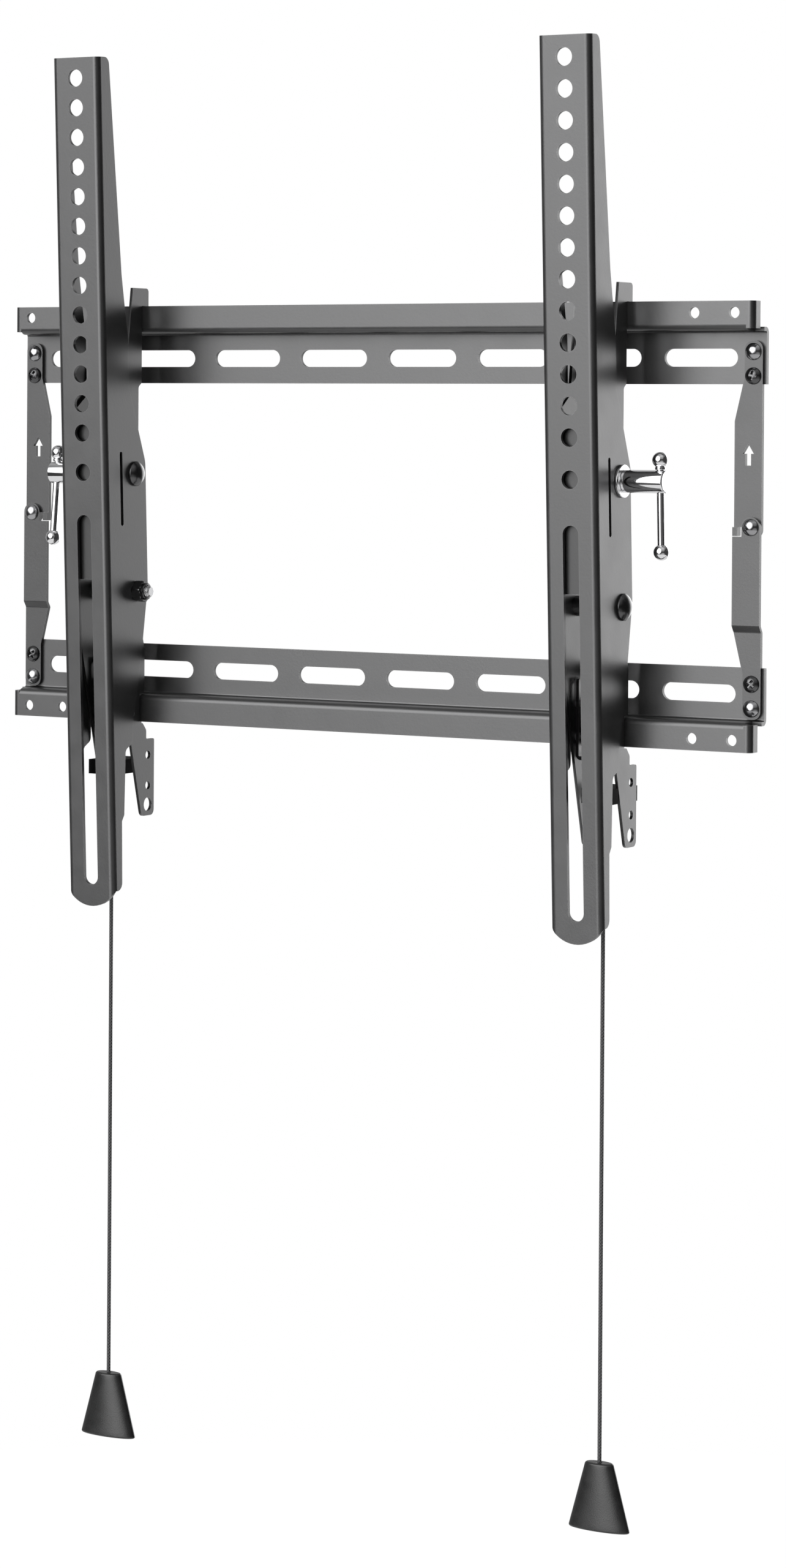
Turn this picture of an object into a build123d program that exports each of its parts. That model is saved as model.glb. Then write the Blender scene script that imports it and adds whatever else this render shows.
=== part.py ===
from build123d import *
from math import atan2, degrees, radians, tan
import os

# Tilting television wall bracket: a folding wall plate of two slotted rails, and two arms that hook
# over the rails, tilt on a pivot and are held by a latch with a pull cord.
# Millimetres. X runs along the rails, Y runs into the wall and Z is up. The origin is the middle of
# the wall plate, on the surface of the wall.

# Sheet steel
RAIL_SHEET = 2.0
LINK_SHEET = 2.0
ARM_SHEET = 2.0
BRACKET_SHEET = 1.5
LATCH_SHEET = 1.5
FOLD_RADIUS = 1.0

# Clearances
SHANK_GAP = 0.1
RUNNING_GAP = 0.06
HANG_GAP = 0.2
SIDE_GAP = 0.25
STOP_GAP = 0.9
SEAT_GAP = 0.3

# Wall rails
RAIL_LENGTH = 428.0
RAIL_OPENING = 135.0
RAIL_DEPTH = 15.0
WEB_HEIGHT = 27.3
LIP_HEIGHT = 14.2
LIP_INSET = 1.0
LIP_RELIEF = 1.2
END_FLANGE_DEPTH = 7.5
LIP_HOLE_DIAMETER = 5.4
LIP_HOLE_DROP = 5.6
LIP_HOLE_INSET = 10.2
LIP_HOLE_PITCH = 21.0
WALL_SLOT_COUNT = 8
WALL_SLOT_MARGIN = 15.2
WALL_SLOT_LENGTH = 38.8
WALL_SLOT_WIDTH = 8.6
WALL_SLOT_RISE = 12.7

# Folding links
LINK_WIDTH = 14.4
LINK_END_WIDTH = 9.6
LINK_INSET = 1.3
LINK_END_LAP = 5.2
LINK_TAPER_START = 17.5
LINK_TAPER_END = -2.5
LINK_CORNER = 4.0
JOGGLE_TOP = 20.0
JOGGLE_RUN = 3.0
HINGE_DROP = 0.5
HINGE_SHOULDER = 4.5
STOP_TAB_WIDTH = 2.6
STOP_TAB_HEIGHT = 3.0
ARROW_RISE = 34.0
ARROW_HEIGHT = 10.3
ARROW_WIDTH = 5.8
ARROW_STEM = 2.9
ARROW_HEAD = 4.7
UPPER_RIVET_RISE = 15.6
UPPER_SCREW_RISE = 4.0
LOWER_RIVET_DROP = 19.3
LOWER_SCREW_DROP = 7.6

# Rivets and screws of the links
RIVET_SHANK = 4.8
RIVET_HEAD = 8.0
RIVET_HEAD_HEIGHT = 2.6
RIVET_TAIL = 7.0
RIVET_TAIL_HEIGHT = 1.2
SCREW_SHANK = 4.0
SCREW_HEAD = 8.0
SCREW_HEAD_HEIGHT = 2.6
CROSS_LENGTH = 4.4
CROSS_WIDTH = 1.1
CROSS_DEPTH = 1.4

# Places of the arms, from the ends of the rails
LEFT_ARM_INSET = 69.3
RIGHT_ARM_INSET = 79.6

# Television arms, measured from the pivot axis
ARM_WIDTH = 28.0
ARM_FRONT = 26.5
ARM_TOP = 272.8
ARM_BOTTOM = 159.7
ARM_END_SAG = 8.0
ARM_CORNER = 4.0
ARM_HOLE_DIAMETER = 8.8
ARM_HOLE_PITCH = 15.0
ARM_HOLE_COUNT = 13
ARM_HOLE_INSET = 10.4
ARM_LAST_HOLE_GAP = 20.0
ARM_SLOT_GAP = 21.8
ARM_SLOT_WIDTH = 8.4
ARM_SLOT_INSET = 11.0
FLANGE_TOP_DEPTH = 10.0
FLANGE_HOOK_DEPTH = 18.0
FLANGE_SHOULDER_DEPTH = 22.7
FLANGE_CLAMP_DEPTH = 36.5
FLANGE_WAIST_DEPTH = 30.5
FLANGE_HIP_DEPTH = 20.6
FLANGE_HEEL_DEPTH = 19.7
FLANGE_TAIL_DEPTH = 13.2
FLANGE_TAIL_TAPER = 2.4
FLANGE_FOOT_DEPTH = 8.6
FLANGE_FOOT_TAPER = 1.0
FLANGE_HOOK_LEVEL = 162.0
FLANGE_SHOULDER_TOP = 129.0
FLANGE_SHOULDER_END = 105.0
FLANGE_CLAMP_TOP = 66.0
FLANGE_CLAMP_END = 2.0
FLANGE_WAIST_LEVEL = -28.0
FLANGE_HEEL_LEVEL = -77.5
FLANGE_HIP_RISE = 11.5
FLANGE_HEEL_RUN = 3.0
FLANGE_HEEL_CORNER = 3.0
FLANGE_TAIL_END = -113.5
FLANGE_STEP = 3.0
FLANGE_SWEEP = 12.0
RELIEF_LENGTH = 38.0
RELIEF_WIDTH = 2.4
RELIEF_DEPTH = 14.2
RELIEF_DROP = 7.0

# Tilt
PIVOT_FROM_WALL = 21.7
PIVOT_DROP = 39.5
REST_TILT = 2.6
MIN_TILT = 1.4
MAX_TILT = 8.0
BOLT_DIAMETER = 6.0
PIVOT_HEAD = 13.0
PIVOT_HEAD_HEIGHT = 4.2
NUT_FLATS = 10.0
NUT_HEIGHT = 5.0
NUT_COLLAR = 8.6
NUT_COLLAR_HEIGHT = 1.6
BOLT_END = 2.0
SPACER_DIAMETER = 10.0

# Tilt clamp with its T-handle
CLAMP_RISE = 60.4
CLAMP_SET_BACK = 0.5
CLAMP_HEAD = 12.5
CLAMP_HEAD_HEIGHT = 4.4
CLAMP_TRACK_GAP = 0.4
WASHER_DIAMETER = 16.0
WASHER_THICKNESS = 1.6
BARREL_DIAMETER = 11.0
BARREL_LENGTH = 22.0
BARREL_CHAMFER = 0.8
BARREL_THREAD_DEPTH = 14.0
BAR_INSET = 3.0
BAR_DIAMETER = 3.6
BAR_BALL = 7.7
BAR_COLLAR = 5.2
BAR_COLLAR_HEIGHT = 0.7
BAR_LENGTH = 44.0
LEFT_HANDLE_TURN = -8.6
RIGHT_HANDLE_TURN = 0.0

# Hook bracket
HOOK_HEIGHT = 9.2
HOOK_TONGUE = 3.6
HOOK_REACH = 8.0
HOOK_CORNER = 2.0
BRACKET_TOP_DEPTH = 23.7
EAR_DEPTH = 31.0
EAR_RISE = 12.0
BRACKET_WAIST = 3.0
BRACKET_WEB_END = 6.5
BRACKET_WEB_LENGTH = 83.0
BRACKET_WEB_LEAN = 1.9
HEEL_DEPTH = 4.0
HEEL_RISE = 21.0
LIP_UNDERCUT = 2.8
TAB_TOP = 9.4
TAB_LENGTH = 49.0
TAB_FROM_WALL = 1.6
TAB_NECK = 9.0
TAB_END_FRONT = 13.0
TAB_CORNER = 3.0
TAB_HOLE_DIAMETER = 4.4
TAB_HOLE_FROM_WALL = 7.3
TAB_HOLE_DROPS = (17.7, 33.4)
PADLOCK_HOLE_DIAMETER = 7.2
PADLOCK_HOLE_DROP = 43.2

# Latch
LATCH_FRONT = 25.5
LATCH_BACK = 9.3
LATCH_HEIGHT = 39.0
LATCH_FLOOR_DROP = 6.5
LATCH_NOSE_RISE = 3.5
LATCH_STEM_BACK = 17.0
LATCH_SIDE_GAP = 1.3
LATCH_TRAVEL = 8.0
LATCH_PIN_DIAMETER = 4.0
LATCH_PIN_FROM_WALL = 22.0
LATCH_PIN_PITCH = 16.0
GUIDE_TOP_DROP = 19.6
GUIDE_HEIGHT = 7.4
GUIDE_FRONT = 27.0
GUIDE_FROM_WALL = 0.6
GUIDE_INNER_REACH = 5.0
GUIDE_SEAT_DIAMETER = 8.6
GUIDE_SEAT_DEPTH = 1.0
SPRING_WIRE = 0.9
SPRING_DIAMETER = 7.0
SPRING_TURNS = 5

# Release cords with their grips
CORD_DIAMETER = 2.0
CORD_FROM_WALL = 18.6
CORD_OFFSET = 2.9
CORD_HOLE_GAP = 0.4
CORD_GRIP_INSET = 14.0
LEFT_CORD_DROP = 330.5
RIGHT_CORD_DROP = 338.5
FERRULE_DIAMETER = 4.4
FERRULE_HEIGHT = 4.0
GRIP_TOP_WIDTH = 14.8
GRIP_BOTTOM_WIDTH = 33.0
GRIP_HEIGHT = 32.5
GRIP_TOP_DEPTH = 7.6
GRIP_BOTTOM_DEPTH = 10.5
GRIP_EDGE = 1.0
GRIP_KNOT_DIAMETER = 5.0

# Levels and planes shared by the pieces that meet
rail_edge = RAIL_OPENING / 2
web_front = -RAIL_SHEET
step_level = rail_edge + WEB_HEIGHT - RAIL_SHEET
lip_front = -RAIL_DEPTH
lip_back = lip_front + RAIL_SHEET
lip_edge = step_level + LIP_HEIGHT
lip_end = RAIL_LENGTH / 2 - LIP_INSET
wall_slot_pitch = (RAIL_LENGTH - 2 * WALL_SLOT_MARGIN - WALL_SLOT_LENGTH) / (WALL_SLOT_COUNT - 1)
left_arm_x = LEFT_ARM_INSET - RAIL_LENGTH / 2
right_arm_x = RAIL_LENGTH / 2 - RIGHT_ARM_INSET
link_outer_edge = RAIL_LENGTH / 2 - LINK_INSET
rivet_x = link_outer_edge - LINK_END_WIDTH / 2
upper_rivet_z = rail_edge + UPPER_RIVET_RISE
upper_screw_z = rail_edge + UPPER_SCREW_RISE
lower_rivet_z = -rail_edge - LOWER_RIVET_DROP
lower_screw_z = -rail_edge - LOWER_SCREW_DROP
hinge_z = -HINGE_DROP
pivot_y = -PIVOT_FROM_WALL
pivot_z = -PIVOT_DROP
arm_inside = ARM_WIDTH / 2 - ARM_SHEET
arm_stop = ARM_FRONT - ARM_SHEET
bracket_outside = arm_inside - SIDE_GAP
bracket_inside = bracket_outside - BRACKET_SHEET
web_y = pivot_y - arm_stop + STOP_GAP
web_end = pivot_z + BRACKET_WEB_END
web_top = web_end + BRACKET_WEB_LENGTH
web_slope = tan(radians(BRACKET_WEB_LEAN))
tab_end = -lip_edge - TAB_LENGTH
latch_outside = bracket_inside - LATCH_SIDE_GAP
latch_floor = -lip_edge - LATCH_FLOOR_DROP
latch_pin_top = latch_floor + LATCH_HEIGHT - LATCH_PIN_DIAMETER - LATCH_TRAVEL
guide_top = -lip_edge - GUIDE_TOP_DROP
cord_place = Pos(CORD_OFFSET, -CORD_FROM_WALL, 0)
barrel_start = ARM_WIDTH / 2 + WASHER_THICKNESS
bar_x = barrel_start + BARREL_LENGTH - BAR_INSET
bar_rest = (BARREL_DIAMETER + BAR_BALL) / 2 + BAR_COLLAR_HEIGHT + SEAT_GAP


def outline(corners):
    """Closed face through (u, v, radius) corners, each rounded by its own radius."""
    points = [(u, v) for u, v, _ in corners]
    radii = [radius for _, _, radius in corners]
    return make_face(FilletPolyline(*points, radius=radii, close=True))


def side_plate(face, low, high):
    """A face drawn in (y, z), carried along X from low to high."""
    return Pos(low, 0, 0) * extrude(Plane.YZ * face, high - low)


def front_plate(face, back, front):
    """A face drawn in (x, z), carried along Y from back to front."""
    return Pos(0, back, 0) * extrude(Plane.XZ * face, back - front)


def rod(diameter, low, high, y=0.0, z=0.0):
    """A round bar along X."""
    return side_plate(Pos(y, z) * Circle(diameter / 2), low, high)


def channel(width, depth, sheet):
    """Section of a folded U, its web on the X axis and its flanges towards +Y."""
    outer = Pos(0, depth / 2) * Rectangle(width, depth)
    inner = Pos(0, sheet + depth / 2) * Rectangle(width - 2 * sheet, depth)
    outer = fillet(outer.vertices().sort_by(Axis.Y)[:2], sheet + FOLD_RADIUS)
    inner = fillet(inner.vertices().sort_by(Axis.Y)[:2], FOLD_RADIUS)
    return outer - inner


def dome(diameter, height):
    """A spherical cap standing on the XY plane, with a short straight rim."""
    rim = height / 4
    crown = height - rim
    radius = (diameter ** 2 / 4 + crown ** 2) / (2 * crown)
    cap = Pos(0, 0, height - radius) * Sphere(radius)
    return cap & Pos(0, 0, height / 2) * Cylinder(diameter / 2, height)


def rail(hole_levels, hole_diameters):
    """The upper rail: slotted web on the wall, step forward, lip turned up and folded back at its ends."""
    bend = RAIL_SHEET + FOLD_RADIUS
    step_top = step_level + RAIL_SHEET
    section = outline([
        (0, rail_edge, 0),
        (0, step_top, bend),
        (lip_back, step_top, FOLD_RADIUS),
        (lip_back, lip_edge, 0),
        (lip_front, lip_edge, 0),
        (lip_front, step_level, bend),
        (web_front, step_level, FOLD_RADIUS),
        (web_front, rail_edge, 0),
    ])
    body = side_plate(section, -RAIL_LENGTH / 2, RAIL_LENGTH / 2)
    lip_cut = lip_end - bend - FOLD_RADIUS
    for side in (-1, 1):
        body -= Pos(side * RAIL_LENGTH / 2, lip_front, lip_edge) * Box(
            RAIL_LENGTH - 2 * lip_cut, -2 * (lip_front - web_front) - 2 * bend, 2 * LIP_HEIGHT)
        body += end_flange(side, lip_cut)
        for step in range(2):
            place = lip_end - LIP_HOLE_INSET - step * LIP_HOLE_PITCH
            body -= Pos(side * place, lip_front, lip_edge - LIP_HOLE_DROP) * Rot(90, 0, 0) * Cylinder(
                LIP_HOLE_DIAMETER / 2, 4 * RAIL_SHEET)
        for level, diameter in zip(hole_levels, hole_diameters):
            body -= Pos(side * rivet_x, web_front, level) * Rot(90, 0, 0) * Cylinder(
                diameter / 2 + SHANK_GAP, 4 * RAIL_SHEET)
    slot = Plane.XZ * SlotOverall(WALL_SLOT_LENGTH, WALL_SLOT_WIDTH)
    slot_z = rail_edge + WALL_SLOT_RISE
    for index in range(WALL_SLOT_COUNT):
        slot_x = (index - (WALL_SLOT_COUNT - 1) / 2) * wall_slot_pitch
        body -= Pos(slot_x, 0, slot_z) * extrude(slot, RAIL_SHEET, both=True)
    return body


def end_flange(side, start):
    """The last of the lip, folded back towards the wall, above the relief at the step."""
    back = lip_front + END_FLANGE_DEPTH
    bend = RAIL_SHEET + FOLD_RADIUS
    section = outline([
        (side * start, lip_front, 0),
        (side * lip_end, lip_front, bend),
        (side * lip_end, back, 0),
        (side * (lip_end - RAIL_SHEET), back, 0),
        (side * (lip_end - RAIL_SHEET), lip_back, FOLD_RADIUS),
        (side * start, lip_back, 0),
    ])
    foot = step_level + LIP_RELIEF
    return Pos(0, 0, foot) * extrude(section, lip_edge - foot, dir=(0, 0, 1))


def upper_link(side):
    """Flat link from the top rail to the hinge rivet, with an arrow cut-out and a bent stop tab."""
    inner = link_outer_edge - LINK_WIDTH
    inner_end = link_outer_edge - LINK_END_WIDTH
    top = upper_rivet_z + LINK_END_LAP
    foot = hinge_z - LINK_END_LAP
    face = outline([
        (side * inner, hinge_z, 0),
        (side * inner, rail_edge - LINK_TAPER_START, LINK_CORNER),
        (side * inner_end, rail_edge - LINK_TAPER_END, LINK_CORNER),
        (side * inner_end, top, LINK_CORNER),
        (side * link_outer_edge, top, LINK_CORNER),
        (side * link_outer_edge, foot, LINK_CORNER),
        (side * inner_end, foot, LINK_CORNER),
        (side * inner_end, hinge_z, 0),
    ])
    face -= Pos(side * (inner + link_outer_edge) / 2, ARROW_RISE) * arrow()
    link = front_plate(face, web_front, web_front - LINK_SHEET)
    tab_x = inner + STOP_TAB_WIDTH / 2
    tab_foot = hinge_z - HINGE_SHOULDER + SEAT_GAP
    tab = Pos(side * tab_x, web_front - LINK_SHEET, (tab_foot + hinge_z) / 2) * Box(
        STOP_TAB_WIDTH, 2 * LINK_SHEET, hinge_z - tab_foot)
    link += tab
    link -= pin_hole(side, upper_rivet_z, RIVET_SHANK)
    link -= pin_hole(side, upper_screw_z, SCREW_SHANK)
    return link - pin_hole(side, hinge_z, RIVET_SHANK)


def arrow():
    """Plain upward arrow, centred on the origin."""
    top = ARROW_HEIGHT / 2
    barb = top - ARROW_HEAD
    return make_face(Polyline(
        (0, top),
        (ARROW_WIDTH / 2, barb),
        (ARROW_STEM / 2, barb),
        (ARROW_STEM / 2, -top),
        (-ARROW_STEM / 2, -top),
        (-ARROW_STEM / 2, barb),
        (-ARROW_WIDTH / 2, barb),
        close=True))


def pin_hole(side, level, diameter):
    """Clearance hole through everything in front of the wall, on the line of the rivets."""
    return Pos(side * rivet_x, -RAIL_DEPTH / 2, level) * Rot(90, 0, 0) * Cylinder(
        diameter / 2 + SHANK_GAP, 2 * RAIL_DEPTH)


def lower_link(side):
    """Joggled link: it laps over the upper link at the hinge and lies on the bottom rail's web."""
    inner = link_outer_edge - LINK_WIDTH
    inner_end = link_outer_edge - LINK_END_WIDTH
    ear_top = hinge_z + LINK_END_WIDTH / 2
    shoulder = hinge_z - HINGE_SHOULDER
    foot = lower_rivet_z - LINK_END_LAP
    ear_radius = LINK_END_WIDTH / 2 - SHANK_GAP
    face = outline([
        (side * inner, shoulder, 0),
        (side * inner_end, shoulder, 0),
        (side * inner_end, ear_top, ear_radius),
        (side * link_outer_edge, ear_top, ear_radius),
        (side * link_outer_edge, foot, LINK_CORNER),
        (side * inner_end, foot, LINK_CORNER),
        (side * inner_end, -rail_edge + LINK_TAPER_END, LINK_CORNER),
        (side * inner, -rail_edge + LINK_TAPER_START, LINK_CORNER),
    ])
    joggle = -rail_edge + JOGGLE_TOP
    front = web_front - 2 * LINK_SHEET
    middle = web_front - LINK_SHEET
    section = outline([
        (middle, ear_top, 0),
        (middle, joggle, FOLD_RADIUS),
        (web_front, joggle - JOGGLE_RUN, FOLD_RADIUS),
        (web_front, foot, 0),
        (middle, foot, 0),
        (middle, joggle - JOGGLE_RUN, FOLD_RADIUS),
        (front, joggle, FOLD_RADIUS),
        (front, ear_top, 0),
    ])
    link = front_plate(face, 0, 2 * front) & side_plate(section, -RAIL_LENGTH, RAIL_LENGTH)
    link -= pin_hole(side, hinge_z, RIVET_SHANK)
    link -= pin_hole(side, lower_screw_z, SCREW_SHANK)
    return link - pin_hole(side, lower_rivet_z, RIVET_SHANK)


def facing_out(x, y, z):
    """Place for a head on a surface that faces away from the wall."""
    return Pos(x, y, z) * Rot(90, 0, 0)


def link_rivet(side, level, grip_front, grip_back, tail):
    """Dome rivet through the links, with a flat tail where there is room behind."""
    head = facing_out(side * rivet_x, grip_front, level) * dome(RIVET_HEAD, RIVET_HEAD_HEIGHT)
    grip = grip_back - grip_front
    shank = facing_out(side * rivet_x, grip_back, level) * Pos(0, 0, grip / 2) * Cylinder(RIVET_SHANK / 2, grip)
    rivet = head + shank
    if tail:
        rivet += facing_out(side * rivet_x, grip_back + RIVET_TAIL_HEIGHT, level) * Pos(
            0, 0, RIVET_TAIL_HEIGHT / 2) * Cylinder(RIVET_TAIL / 2, RIVET_TAIL_HEIGHT)
    return rivet


def link_screw(side, level):
    """Cross-head screw that locks a link to its rail."""
    front = web_front - LINK_SHEET
    grip = -front
    head = dome(SCREW_HEAD, SCREW_HEAD_HEIGHT)
    for size in ((CROSS_LENGTH, CROSS_WIDTH), (CROSS_WIDTH, CROSS_LENGTH)):
        head -= Pos(0, 0, SCREW_HEAD_HEIGHT) * Box(*size, 2 * CROSS_DEPTH)
    shank = Pos(0, 0, -grip / 2) * Cylinder(SCREW_SHANK / 2, grip)
    return facing_out(side * rivet_x, front, level) * (head + shank)


def tilted(shape, angle):
    """A shape drawn about the pivot axis with the arm upright, leaned out and put on the pivot."""
    return Pos(0, pivot_y, pivot_z) * Rot(angle, 0, 0) * shape


def tv_arm():
    """Folded channel for the back of the television, drawn upright about the pivot axis."""
    front = -ARM_FRONT
    web_back = front + ARM_SHEET
    end = -ARM_BOTTOM
    flange_end = end + ARM_END_SAG
    hip = FLANGE_HEEL_LEVEL + FLANGE_HIP_RISE
    tail_top = FLANGE_HEEL_LEVEL - FLANGE_HEEL_RUN
    blank = Pos(0, front, end) * extrude(channel(ARM_WIDTH, FLANGE_CLAMP_DEPTH, ARM_SHEET), ARM_TOP - end)
    flange = outline([
        (front, ARM_TOP, 0),
        (front + FLANGE_TOP_DEPTH, ARM_TOP, ARM_CORNER),
        (front + FLANGE_HOOK_DEPTH, FLANGE_HOOK_LEVEL, FLANGE_SWEEP),
        (front + FLANGE_SHOULDER_DEPTH, FLANGE_SHOULDER_TOP, ARM_CORNER),
        (front + FLANGE_SHOULDER_DEPTH, FLANGE_SHOULDER_END, ARM_CORNER),
        (front + FLANGE_CLAMP_DEPTH, FLANGE_CLAMP_TOP, FLANGE_SWEEP),
        (front + FLANGE_CLAMP_DEPTH, FLANGE_CLAMP_END, FLANGE_SWEEP),
        (front + FLANGE_WAIST_DEPTH, FLANGE_WAIST_LEVEL, FLANGE_SWEEP),
        (front + FLANGE_HIP_DEPTH, hip, FLANGE_SWEEP),
        (front + FLANGE_HEEL_DEPTH, FLANGE_HEEL_LEVEL, FLANGE_HEEL_CORNER),
        (front + FLANGE_TAIL_DEPTH, tail_top, FLANGE_HEEL_CORNER),
        (front + FLANGE_TAIL_DEPTH - FLANGE_TAIL_TAPER, FLANGE_TAIL_END, FOLD_RADIUS),
        (front + FLANGE_FOOT_DEPTH, FLANGE_TAIL_END - FLANGE_STEP, FOLD_RADIUS),
        (front + FLANGE_FOOT_DEPTH - FLANGE_FOOT_TAPER, flange_end, ARM_CORNER),
        (web_back, flange_end, 0),
        (web_back, end, 0),
        (front, end, 0),
    ])
    arm = blank & side_plate(flange, -ARM_WIDTH, ARM_WIDTH)
    arm &= front_plate(arm_face(), FLANGE_CLAMP_DEPTH, -2 * ARM_FRONT)
    relief_z = CLAMP_RISE - RELIEF_DROP
    relief = Pos(front + RELIEF_DEPTH, relief_z) * SlotOverall(RELIEF_LENGTH, RELIEF_WIDTH, rotation=90)
    arm -= side_plate(relief, -ARM_WIDTH, ARM_WIDTH)
    arm -= rod(BOLT_DIAMETER + 2 * SHANK_GAP, -ARM_WIDTH, ARM_WIDTH)
    return arm - rod(BOLT_DIAMETER + 2 * SHANK_GAP, -ARM_WIDTH, ARM_WIDTH, CLAMP_SET_BACK, CLAMP_RISE)


def arm_face():
    """Front of the arm: screw holes, long slot and rounded foot."""
    half = ARM_WIDTH / 2
    end = -ARM_BOTTOM
    edge = Polyline((-half, end + ARM_END_SAG), (-half, ARM_TOP), (half, ARM_TOP), (half, end + ARM_END_SAG))
    foot = ThreePointArc((half, end + ARM_END_SAG), (0, end), (-half, end + ARM_END_SAG))
    face = make_face([edge, foot])
    level = ARM_TOP - ARM_HOLE_INSET
    for _ in range(ARM_HOLE_COUNT):
        face -= Pos(0, level) * Circle(ARM_HOLE_DIAMETER / 2)
        level -= ARM_HOLE_PITCH
    last = level + ARM_HOLE_PITCH - ARM_LAST_HOLE_GAP
    face -= Pos(0, last) * Circle(ARM_HOLE_DIAMETER / 2)
    slot_top = last - ARM_SLOT_GAP
    slot_end = end + ARM_SLOT_INSET
    slot = SlotOverall(slot_top - slot_end, ARM_SLOT_WIDTH, rotation=90)
    return face - Pos(0, (slot_top + slot_end) / 2) * slot


def plate_edge(level):
    """Y of the straight front edge of the bracket's plates, below its web."""
    share = (web_end - level) / (web_end - tab_end)
    return web_y - share * (web_y + TAB_END_FRONT)


def hook_bracket():
    """Folded channel that hangs on the rails: hooked ears above its web, bearing edges, tab below."""
    bearing = lip_front - HANG_GAP
    waist = lip_front - BRACKET_WAIST
    heel = lip_front + HEEL_DEPTH
    tongue_front = lip_back + HANG_GAP
    tongue_back = tongue_front + HOOK_TONGUE
    hang = lip_edge + HANG_GAP
    top = lip_edge + HOOK_HEIGHT
    tab_top = -lip_edge - TAB_TOP
    heel_end = -step_level + STOP_GAP
    plate = outline([
        (-BRACKET_TOP_DEPTH, top, 0),
        (tongue_back, top, HOOK_CORNER),
        (tongue_back, lip_edge - HOOK_REACH, FOLD_RADIUS),
        (tongue_front, lip_edge - HOOK_REACH, FOLD_RADIUS),
        (tongue_front, hang, 0),
        (bearing, hang, 0),
        (bearing, rail_edge, HOOK_CORNER),
        (waist, rail_edge - HOOK_CORNER, HOOK_CORNER),
        (waist, -rail_edge + HEEL_RISE, HOOK_CORNER),
        (heel, -rail_edge - HOOK_CORNER, HOOK_CORNER),
        (heel, heel_end, FOLD_RADIUS),
        (bearing, heel_end, FOLD_RADIUS),
        (bearing, -lip_edge - STOP_GAP, 0),
        (bearing + LIP_UNDERCUT, -lip_edge - STOP_GAP, FOLD_RADIUS),
        (-TAB_NECK, -lip_edge - TAB_TOP / 2, HOOK_CORNER),
        (-TAB_NECK, tab_top, FOLD_RADIUS),
        (-TAB_FROM_WALL, tab_top, FOLD_RADIUS),
        (-TAB_FROM_WALL, tab_end, TAB_CORNER),
        (-TAB_END_FRONT, tab_end, TAB_CORNER),
        (web_y, web_end, 0),
        (web_y - BRACKET_WEB_LENGTH * web_slope, web_top, 0),
        (-EAR_DEPTH, web_top + EAR_RISE, HOOK_CORNER),
    ])
    lean = Vector(0, -web_slope, 1)
    fold_plane = Plane((0, web_y, web_end), x_dir=(1, 0, 0), z_dir=lean)
    fold = fold_plane * channel(2 * bracket_outside, 4 * PIVOT_FROM_WALL, BRACKET_SHEET)
    length = lip_edge - pivot_z
    bracket = extrude(fold, 2 * length, dir=lean) + extrude(fold, 2 * length, dir=-lean)
    bracket &= side_plate(plate, -bracket_outside, bracket_outside)
    bracket -= Pos(0, 0, web_end - length) * Box(2 * bracket_inside, 8 * PIVOT_FROM_WALL, 2 * length)
    bracket -= rod(BOLT_DIAMETER + 2 * RUNNING_GAP, -ARM_WIDTH, ARM_WIDTH, pivot_y, pivot_z)
    bracket -= side_plate(clamp_track(), -ARM_WIDTH, ARM_WIDTH)
    for pin_z in (latch_pin_top, latch_pin_top - LATCH_PIN_PITCH):
        bracket -= rod(LATCH_PIN_DIAMETER + 2 * RUNNING_GAP, -ARM_WIDTH, ARM_WIDTH, -LATCH_PIN_FROM_WALL, pin_z)
    for drop in TAB_HOLE_DROPS:
        bracket -= rod(TAB_HOLE_DIAMETER, -ARM_WIDTH, ARM_WIDTH, -TAB_HOLE_FROM_WALL, -lip_edge - drop)
    padlock_z = -lip_edge - PADLOCK_HOLE_DROP
    return bracket - rod(PADLOCK_HOLE_DIAMETER, -ARM_WIDTH, ARM_WIDTH, -TAB_HOLE_FROM_WALL, padlock_z)


def clamp_track():
    """Curved slot that the clamp bolt runs in as the arm leans between its limits."""
    reach = Vector(CLAMP_SET_BACK, CLAMP_RISE).length
    upright = degrees(atan2(CLAMP_RISE, CLAMP_SET_BACK))
    path = CenterArc((pivot_y, pivot_z), reach, upright + MIN_TILT, MAX_TILT - MIN_TILT)
    return SlotArc(path, BOLT_DIAMETER + 2 * CLAMP_TRACK_GAP)


def pivot_bolt():
    """Dome-headed tilt bolt, head on the outer flange, drawn about the pivot axis."""
    half = ARM_WIDTH / 2
    end = half + NUT_HEIGHT + NUT_COLLAR_HEIGHT + BOLT_END
    return rod(BOLT_DIAMETER, -end, half) + Pos(half, 0, 0) * Rot(0, 90, 0) * dome(PIVOT_HEAD, PIVOT_HEAD_HEIGHT)


def pivot_nut():
    """Lock nut with a round collar, on the inner flange."""
    half = ARM_WIDTH / 2
    hexagon = RegularPolygon(NUT_FLATS / 2, 6, major_radius=False)
    nut = side_plate(hexagon, -half - NUT_HEIGHT, -half)
    nut += rod(NUT_COLLAR, -half - NUT_HEIGHT - NUT_COLLAR_HEIGHT, -half - NUT_HEIGHT)
    return nut - rod(BOLT_DIAMETER + 2 * RUNNING_GAP, -ARM_WIDTH, 0)


def pivot_spacer():
    """Tube that keeps the two plates of the bracket apart on the tilt bolt."""
    tube = rod(SPACER_DIAMETER, -bracket_inside, bracket_inside, pivot_y, pivot_z)
    return tube - rod(BOLT_DIAMETER + 2 * RUNNING_GAP, -ARM_WIDTH, ARM_WIDTH, pivot_y, pivot_z)


def on_clamp(shape, turn=0):
    """A shape drawn about the X axis, turned about it and moved to the clamp axis of the upright arm."""
    return Pos(0, CLAMP_SET_BACK, CLAMP_RISE) * Rot(turn, 0, 0) * shape


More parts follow.
